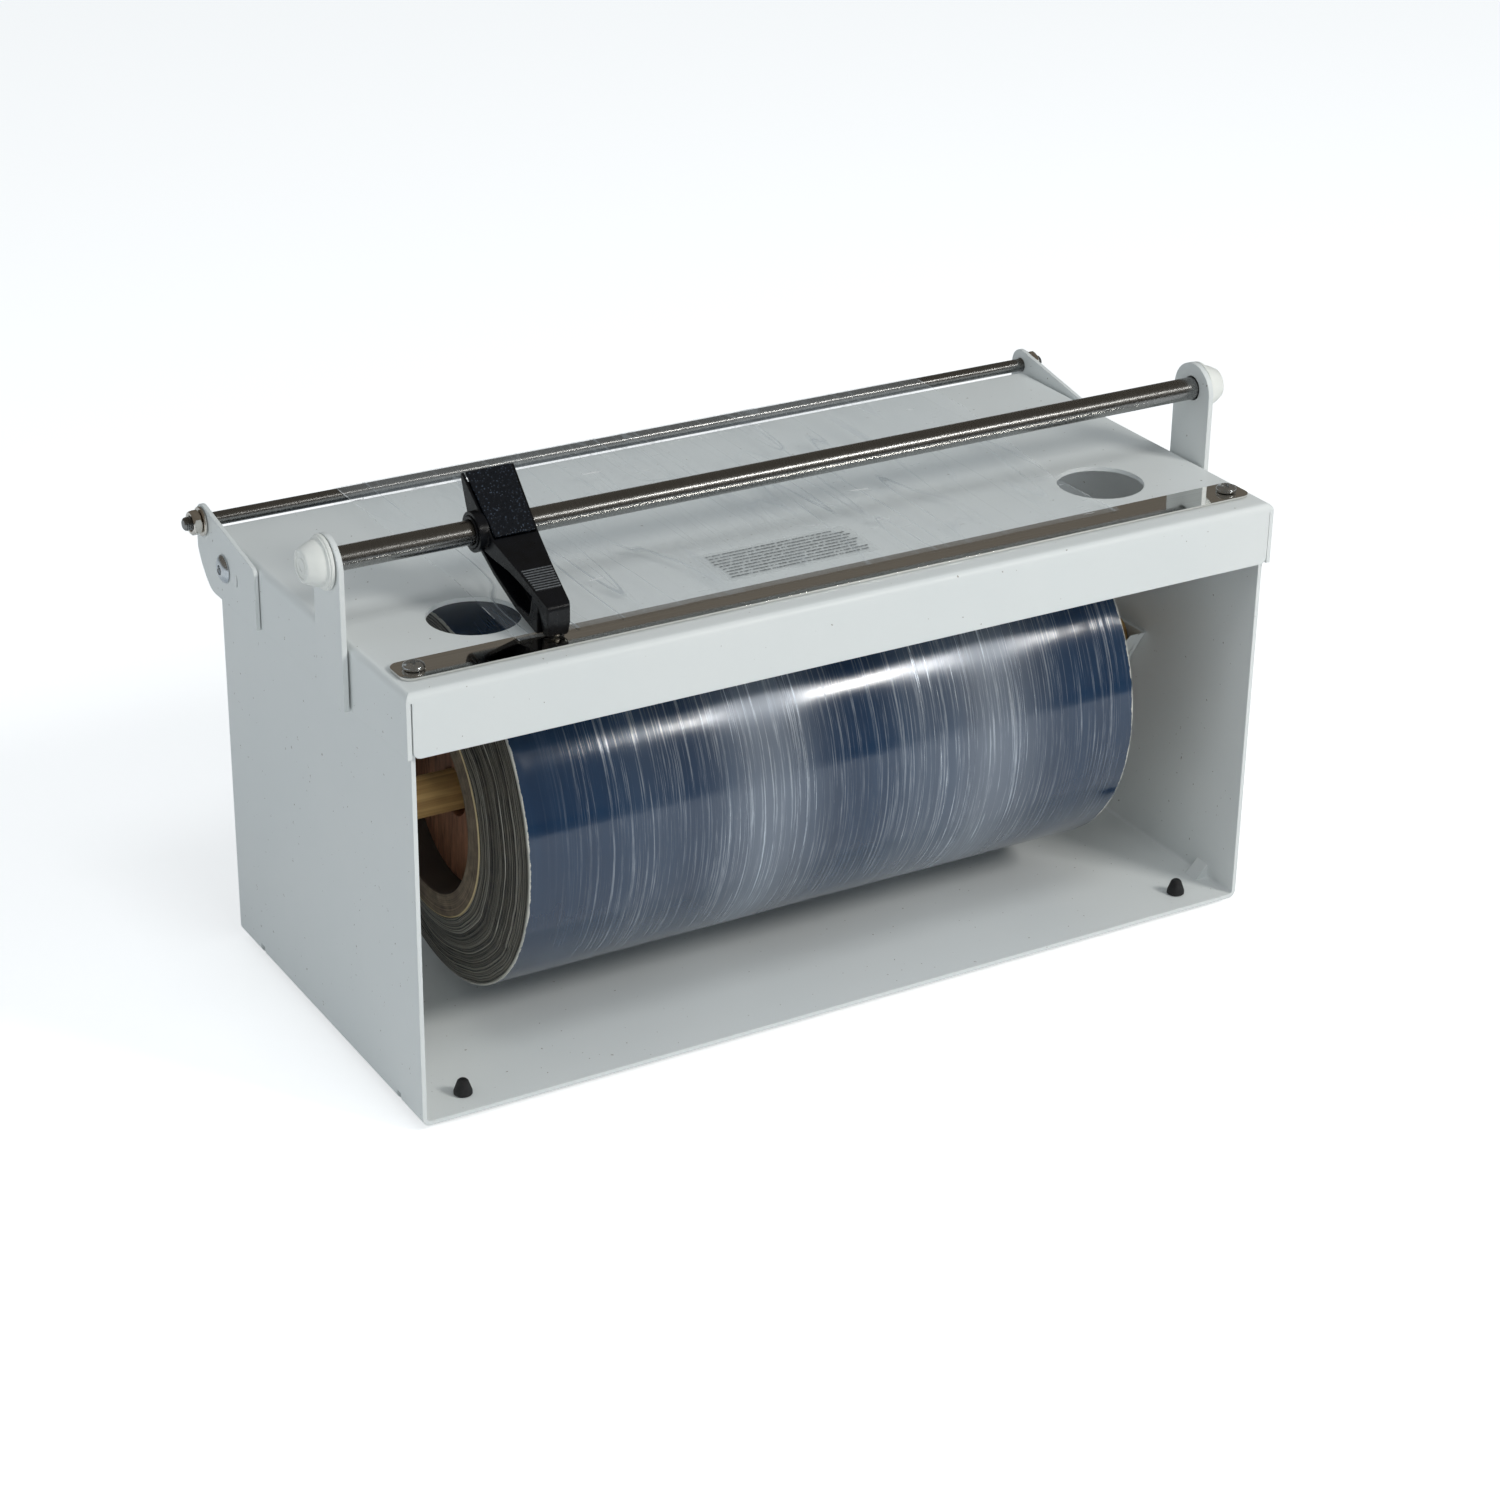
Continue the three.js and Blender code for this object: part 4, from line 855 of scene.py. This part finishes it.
def make_cap(name, side):
    """A moulded cap: a flange, a cone that tapers to the tip, and a plain ring sunk into the tip."""
    node = f"rail_cap_{name}"
    low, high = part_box(node)
    length = high.x - low.x
    face = low.x if side > 0 else high.x
    rim = (high.z - low.z) / 2
    tip, cone = 7 * MM, 9.7 * MM
    bore = 5.3 * MM
    flange = 2.4 * MM
    outline = [
        (0, bore), (0, rim - 0.7 * MM), (0.12 * MM, rim - 0.25 * MM), (0.4 * MM, rim),
        (flange - 1.1 * MM, rim), (flange - 0.85 * MM, rim - 0.12 * MM),
        (flange - 0.8 * MM, rim - 0.5 * MM), (flange - 0.7 * MM, rim - 0.6 * MM),
        (flange - 0.15 * MM, rim - 0.62 * MM), (flange, rim - 0.8 * MM), (flange, cone + 0.25 * MM),
        (flange + 0.2 * MM, cone),
    ]
    cone_end = length - 0.9 * MM
    for i in range(1, 7):
        t = i / 6
        bow = 0.35 * MM * math.sin(math.pi * t)
        x = flange + 0.2 * MM + (cone_end - flange - 0.2 * MM) * t
        outline.append((x, cone + (tip + 0.3 * MM - cone) * t + bow))
    outline += [
        (length - 0.3 * MM, tip), (length - 0.05 * MM, tip - 0.45 * MM), (length, tip - 0.8 * MM),
        (length, tip - 1.5 * MM), (length - 0.15 * MM, tip - 1.7 * MM), (length - 0.5 * MM, tip - 1.8 * MM),
        (length - 0.5 * MM, tip - 3.6 * MM), (length - 0.2 * MM, tip - 3.8 * MM),
        (length - 0.2 * MM, tip - 4.6 * MM),
        (length - 0.5 * MM, tip - 4.8 * MM), (length - 0.5 * MM, 0),
    ]
    inner = [(length - 2.7 * MM, 0), (length - 2.7 * MM, bore), (0, bore)]
    profile = [(side * x, r) for x, r in outline + inner]
    centre = Vector((face, middle(node).y, middle(node).z))
    points, faces = turned(profile, centre, 96)
    cap = new_piece(f"moulded_cap_{name}", points, faces, [WHITE_PLASTIC], "rail", [node])
    sharpen(cap, 40)


for name, side in SIDES.items():
    make_cap(name, side)

# ---------------------------------------------------------------- nuts, screws, washers and the guide rod


def hexagon_radius(angle, across_flats):
    """Distance from a hexagon's middle to its edge, at an angle."""
    return across_flats / 2 / math.cos((angle + math.pi / 6) % (math.pi / 3) - math.pi / 6)


def stand_up(points, centre):
    """Turns points drawn along the X axis so that they run along the Z axis."""
    return [centre + Vector((p.y - centre.y, p.z - centre.z, p.x - centre.x)) for p in points]


def make_nut(node, new_name, across_flats, bore, material, upright=False):
    """A hexagon nut whose corners are chamfered by a cone at both faces."""
    low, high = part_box(node)
    centre = (low + high) / 2
    half = (high.z - low.z if upright else high.x - low.x) / 2
    corner, face = across_flats / math.sqrt(3), across_flats / 2 * 0.95
    depth, steps = 0.099 * across_flats, 5
    chamfer = [(depth * i / steps, face + (corner - face) * i / steps) for i in range(steps + 1)]
    profile = [(-half + 0.4 * MM, bore), (-half, bore + 0.4 * MM)]
    profile += [(-half + x, r) for x, r in chamfer] + [(half - x, r) for x, r in reversed(chamfer)]
    profile += [(half, bore + 0.4 * MM), (half - 0.4 * MM, bore), (-half + 0.4 * MM, bore)]

    def shift(x, radius, angle):
        if radius < face:
            return 0, 0
        return 0, min(radius, hexagon_radius(angle, across_flats)) - radius

    points, faces = turned(profile, centre, 144, shift)
    if upright:
        points = stand_up(points, centre)
    nut = new_piece(new_name, points, faces, [material], "root", [node])
    sharpen(nut, 25)


def make_washer(name):
    node = f"guide_washer_{name}"
    low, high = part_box(node)
    centre, half, rim = (low + high) / 2, (high.x - low.x) / 2, (high.z - low.z) / 2
    hole, ease = 3.3 * MM, 0.25 * MM
    profile = [
        (-half, hole + ease), (-half + ease, hole), (half - ease, hole), (half, hole + ease),
        (half, rim - 2 * ease), (half - 0.4 * ease, rim - 0.6 * ease), (half - 1.4 * ease, rim),
        (-half + 1.4 * ease, rim), (-half + 0.4 * ease, rim - 0.6 * ease), (-half, rim - 2 * ease),
        (-half, hole + ease),
    ]
    points, faces = turned(profile, centre, 72)
    washer = new_piece(f"plain_washer_{name}", points, faces, [NICKEL], "root", [node])
    sharpen(washer, 25)


def make_guide_rod():
    """A bright rod with a rolled thread and a chamfer at each end."""
    low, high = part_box("guide_rod")
    centre = (low + high) / 2
    half, radius = (high.x - low.x) / 2, (high.z - low.z) / 2
    pitch, turns = 0.8 * MM, 16
    end = [(half, 0), (half, radius - 0.9 * MM), (half - 0.7 * MM, radius - 0.15 * MM)]
    for i in range(turns):
        x = half - 0.7 * MM - i * pitch
        end += [(x - 0.35 * pitch, radius - 0.36 * MM), (x - 0.5 * pitch, radius - 0.36 * MM),
                (x - 0.85 * pitch, radius), (x - pitch, radius)]
    steps = 30
    inner = end[-1][0]
    between_threads = [(2 * inner * i / steps - inner, radius) for i in range(1, steps)]
    profile = [(-x, r) for x, r in end] + between_threads + end[::-1]
    points, faces = turned(profile, centre, 64)
    rod = new_piece("threaded_guide_rod", points, faces, [STEEL], "root", ["guide_rod"])
    sharpen(rod, 30)


def make_bracket_screw(name, side):
    """A domed button-head screw with a hexagon socket."""
    node = f"bracket_screw_{name}"
    low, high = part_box(node)
    centre = (low + high) / 2
    rim = (high.z - low.z) / 2
    tall, shank = 2.2 * MM, 3 * MM
    top = (high.x - low.x) / 2
    under = top - tall
    socket, floor = 2.05 * MM, 1.2 * MM
    profile = [
        (-top, 0), (-top, shank - 0.5 * MM), (-top + 0.5 * MM, shank), (under, shank),
        (under, rim - 0.15 * MM), (under + 0.15 * MM, rim), (under + 0.4 * MM, rim),
    ]
    steps = 14
    for i in range(1, steps + 1):
        t = i / steps
        radius = rim + (socket + 0.25 * MM - rim) * t
        fall = ((radius - socket) / (rim - socket)) ** 2.2
        profile.append((top - (tall - 0.45 * MM) * fall, radius))
    profile += [
        (top - 0.1 * MM, socket + 0.08 * MM), (top - 0.25 * MM, socket),
        (top - floor, socket), (top - floor, 0),
    ]
    points, faces = turned([(side * x, r) for x, r in profile], centre, 96)
    screw = new_piece(f"button_screw_{name}", points, faces, [ZINC], "root", [node])
    sharpen(screw, 40)


def make_strip_screw(name):
    """A pan-head screw with a cross recess."""
    node = f"strip_screw_{name}"
    low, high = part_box(node)
    centre = (low + high) / 2
    half, rim, shank = (high.z - low.z) / 2, (high.x - low.x) / 2, 2.4 * MM
    under = half - 2.8 * MM
    shoulder = under + 1.0 * MM
    profile = [
        (-half, 0), (-half, shank - 0.5 * MM), (-half + 0.5 * MM, shank), (under, shank),
        (under, rim - 0.2 * MM), (under + 0.2 * MM, rim), (shoulder, rim),
    ]
    crown, steps = 1.5 * MM, 44
    for i in range(1, steps + 1):
        radius = rim * (1 - i / steps)
        profile.append((half - crown * (radius / rim) ** 4, radius))
    slot_half_width, slot_reach, slot_depth = 0.62 * MM, 2.9 * MM, 1.3 * MM
    screwed_in = 0.35

    def shift(x, radius, angle):
        if x < shoulder + 0.1 * MM:
            return 0, 0
        turn = angle + screwed_in
        from_arms = min(abs(radius * math.cos(turn)), abs(radius * math.sin(turn)))
        half_width = slot_half_width - 0.05 * radius
        inside = min(1.0, max(0.0, (half_width - from_arms) / (0.25 * MM)))
        inside *= min(1.0, max(0.0, (slot_reach - radius) / (0.5 * MM)))
        return -slot_depth * inside, 0

    points, faces = turned(profile, centre, 144, shift)
    points = stand_up(points, centre)
    screw = new_piece(f"cross_screw_{name}", points, faces, [ZINC], "root", [node])
    sharpen(screw, 50)


make_guide_rod()
for name, side in SIDES.items():
    make_strip_screw(name)
    make_nut(f"guide_nut_{name}", f"hexagon_guide_nut_{name}", 10 * MM, 3.3 * MM, NICKEL)
    make_nut(f"bracket_nut_{name}", f"hexagon_bracket_nut_{name}", 10 * MM, 3.3 * MM, ZINC)
    make_nut(f"strip_nut_{name}", f"hexagon_strip_nut_{name}", 8 * MM, 2.7 * MM, ZINC, upright=True)
    make_washer(name)
    make_bracket_screw(name, side)

# ---------------------------------------------------------------- film web


def between(pairs, value):
    """Straight-line reading of a short list of (place, value) pairs."""
    for (a, va), (b, vb) in zip(pairs, pairs[1:]):
        if value <= b:
            return va + (vb - va) * max(0.0, (value - a) / (b - a))
    return pairs[-1][1]


FILM_HALF = 149 * MM

# The film's edges over the deck, as (distance behind the walls' front, x).
LEFT_EDGE = [(0.024, -0.1490), (0.035, -0.1490), (0.082, -0.1460), (0.117, -0.1475), (0.149, -0.1490)]
RIGHT_EDGE = [(0.024, 0.1415), (0.034, 0.1387), (0.063, 0.1377), (0.121, 0.1440), (0.153, 0.1486)]


def film_path():
    """The film's line in (y, z): off the back of the roll, over the guide rod, forward to the strip.
    Also gives how many of its points come before the deck."""
    from_roll = ROLL_RADIUS + 0.6 * MM
    over_rod = GUIDE_RADIUS + 0.45 * MM
    dy, dz = GUIDE.y - ROLL.y, GUIDE.z - ROLL.z
    leave = math.atan2(dz, dy) - math.acos((from_roll - over_rod) / math.hypot(dy, dz))
    points = []
    start = (ROLL.y + from_roll * math.cos(leave), ROLL.z + from_roll * math.sin(leave))
    reach = (GUIDE.y + over_rod * math.cos(leave), GUIDE.z + over_rod * math.sin(leave))
    rise_steps, wrap_steps, deck_steps = 40, 14, 130
    for i in range(rise_steps):
        t = i / rise_steps
        points.append((start[0] + (reach[0] - start[0]) * t, start[1] + (reach[1] - start[1]) * t))
    last = 0.515 * math.pi
    for i in range(wrap_steps + 1):
        angle = leave + (last - leave) * i / wrap_steps
        points.append((GUIDE.y + over_rod * math.cos(angle), GUIDE.z + over_rod * math.sin(angle)))
    y0, z0 = points[-1]
    strip_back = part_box("cutting_strip")[1].y + 3 * MM
    over_strip = STRIP_TOP + 0.55 * MM
    cut_end = STRIP_FRONT + 11.5 * MM
    for i in range(1, deck_steps + 1):
        y = y0 + (cut_end - y0) * i / deck_steps
        points.append((y, over_strip + (z0 - over_strip) * max(0.0, (y - strip_back) / (y0 - strip_back))))
    return points, rise_steps + wrap_steps


def make_web():
    """The film in one sheet, with low folds and ripples where it lies over the deck."""
    path, deck_from = film_path()
    wall_front = FRONT + 2.3 * MM
    border = 0.0018  # share of the width taken by the line along each edge
    columns = 240
    inner = [border + (1 - 2 * border) * i / columns for i in range(columns + 1)]
    shares = [0.0, *inner, 1.0]
    points, length = [], 0.0
    for row, (y, z) in enumerate(path):
        if row:
            length += math.hypot(y - path[row - 1][0], z - path[row - 1][1])
        back = y - wall_front
        left = between(LEFT_EDGE, back) if row >= deck_from else -FILM_HALF
        right = between(RIGHT_EDGE, back) if row >= deck_from else FILM_HALF
        to_cut_end = len(path) - 1 - row
        lift = min(1.0, max(0.0, (row - deck_from) / 12)) * min(1.0, to_cut_end / 22)
        curl = max(0.0, 1 - to_cut_end / 3)
        for share in shares:
            x = left + (right - left) * share
            fold = 1 - abs(noise.noise(Vector((x * 14 + y * 9, y * 3 - x * 4, 1.3)))) * 2
            ripple = noise.noise(Vector((x * 30 + y * 12, y * 9, 4.1)))
            height = lift * (1.3 * max(0.0, fold - 0.6) + 0.3 * ripple + 0.1) * MM
            crinkle = 0.6 * curl * noise.noise(Vector((x * 45, 2.2, 0.5))) * MM
            points.append((x, y + crinkle, z + max(0.0, height) + abs(crinkle) * 0.3))
    faces = []
    across = len(shares)
    for row in range(len(path) - 1):
        for column in range(across - 1):
            a = row * across + column
            faces.append((a, a + 1, a + across + 1, a + across))
    films = [CLEAR, CLEAR_EDGE]
    web = new_piece("stretched_film", points, faces, films, "root", ["film_web"])
    for polygon in web.data.polygons:
        row, column = divmod(polygon.index, across - 1)
        at_border = column in (0, across - 2)
        polygon.material_index = 1 if at_border and row >= deck_from else 0


make_web()

# ---------------------------------------------------------------- label print


def make_dashes():
    """Plain grey dashes in rows, where a label would have its instructions."""
    rng = random.Random(SEED)
    low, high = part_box("instruction_label")
    left, right = low.x + 3 * MM, high.x - 4 * MM
    rows, height = 9, 0.8 * MM
    pitch = (high.y - low.y - 4 * MM) / rows
    bottom, top = high.z + 0.02 * MM, high.z + 0.06 * MM
    sides = [(0, 1, 5, 4), (1, 2, 6, 5), (2, 3, 7, 6), (3, 0, 4, 7), (3, 2, 1, 0), (4, 5, 6, 7)]
    points, faces = [], []
    for row in range(rows):
        y = low.y + 2 * MM + pitch * (row + 0.5)
        x = left + rng.uniform(0, 1.5) * MM
        end = right - rng.uniform(0, 5) * MM
        while x < end:
            width = rng.uniform(0.5, 2.4) * MM
            base = len(points)
            front, back = y - height / 2, y + height / 2
            for z in (bottom, top):
                points += [(x, front, z), (x + width, front, z), (x + width, back, z), (x, back, z)]
            faces += [tuple(base + i for i in side) for side in sides]
            x += width + rng.choice((0.3, 0.35, 0.4, 1.0)) * MM
    new_piece("label_dashes", points, faces, [INK], "root", (), smooth=False)


make_dashes()
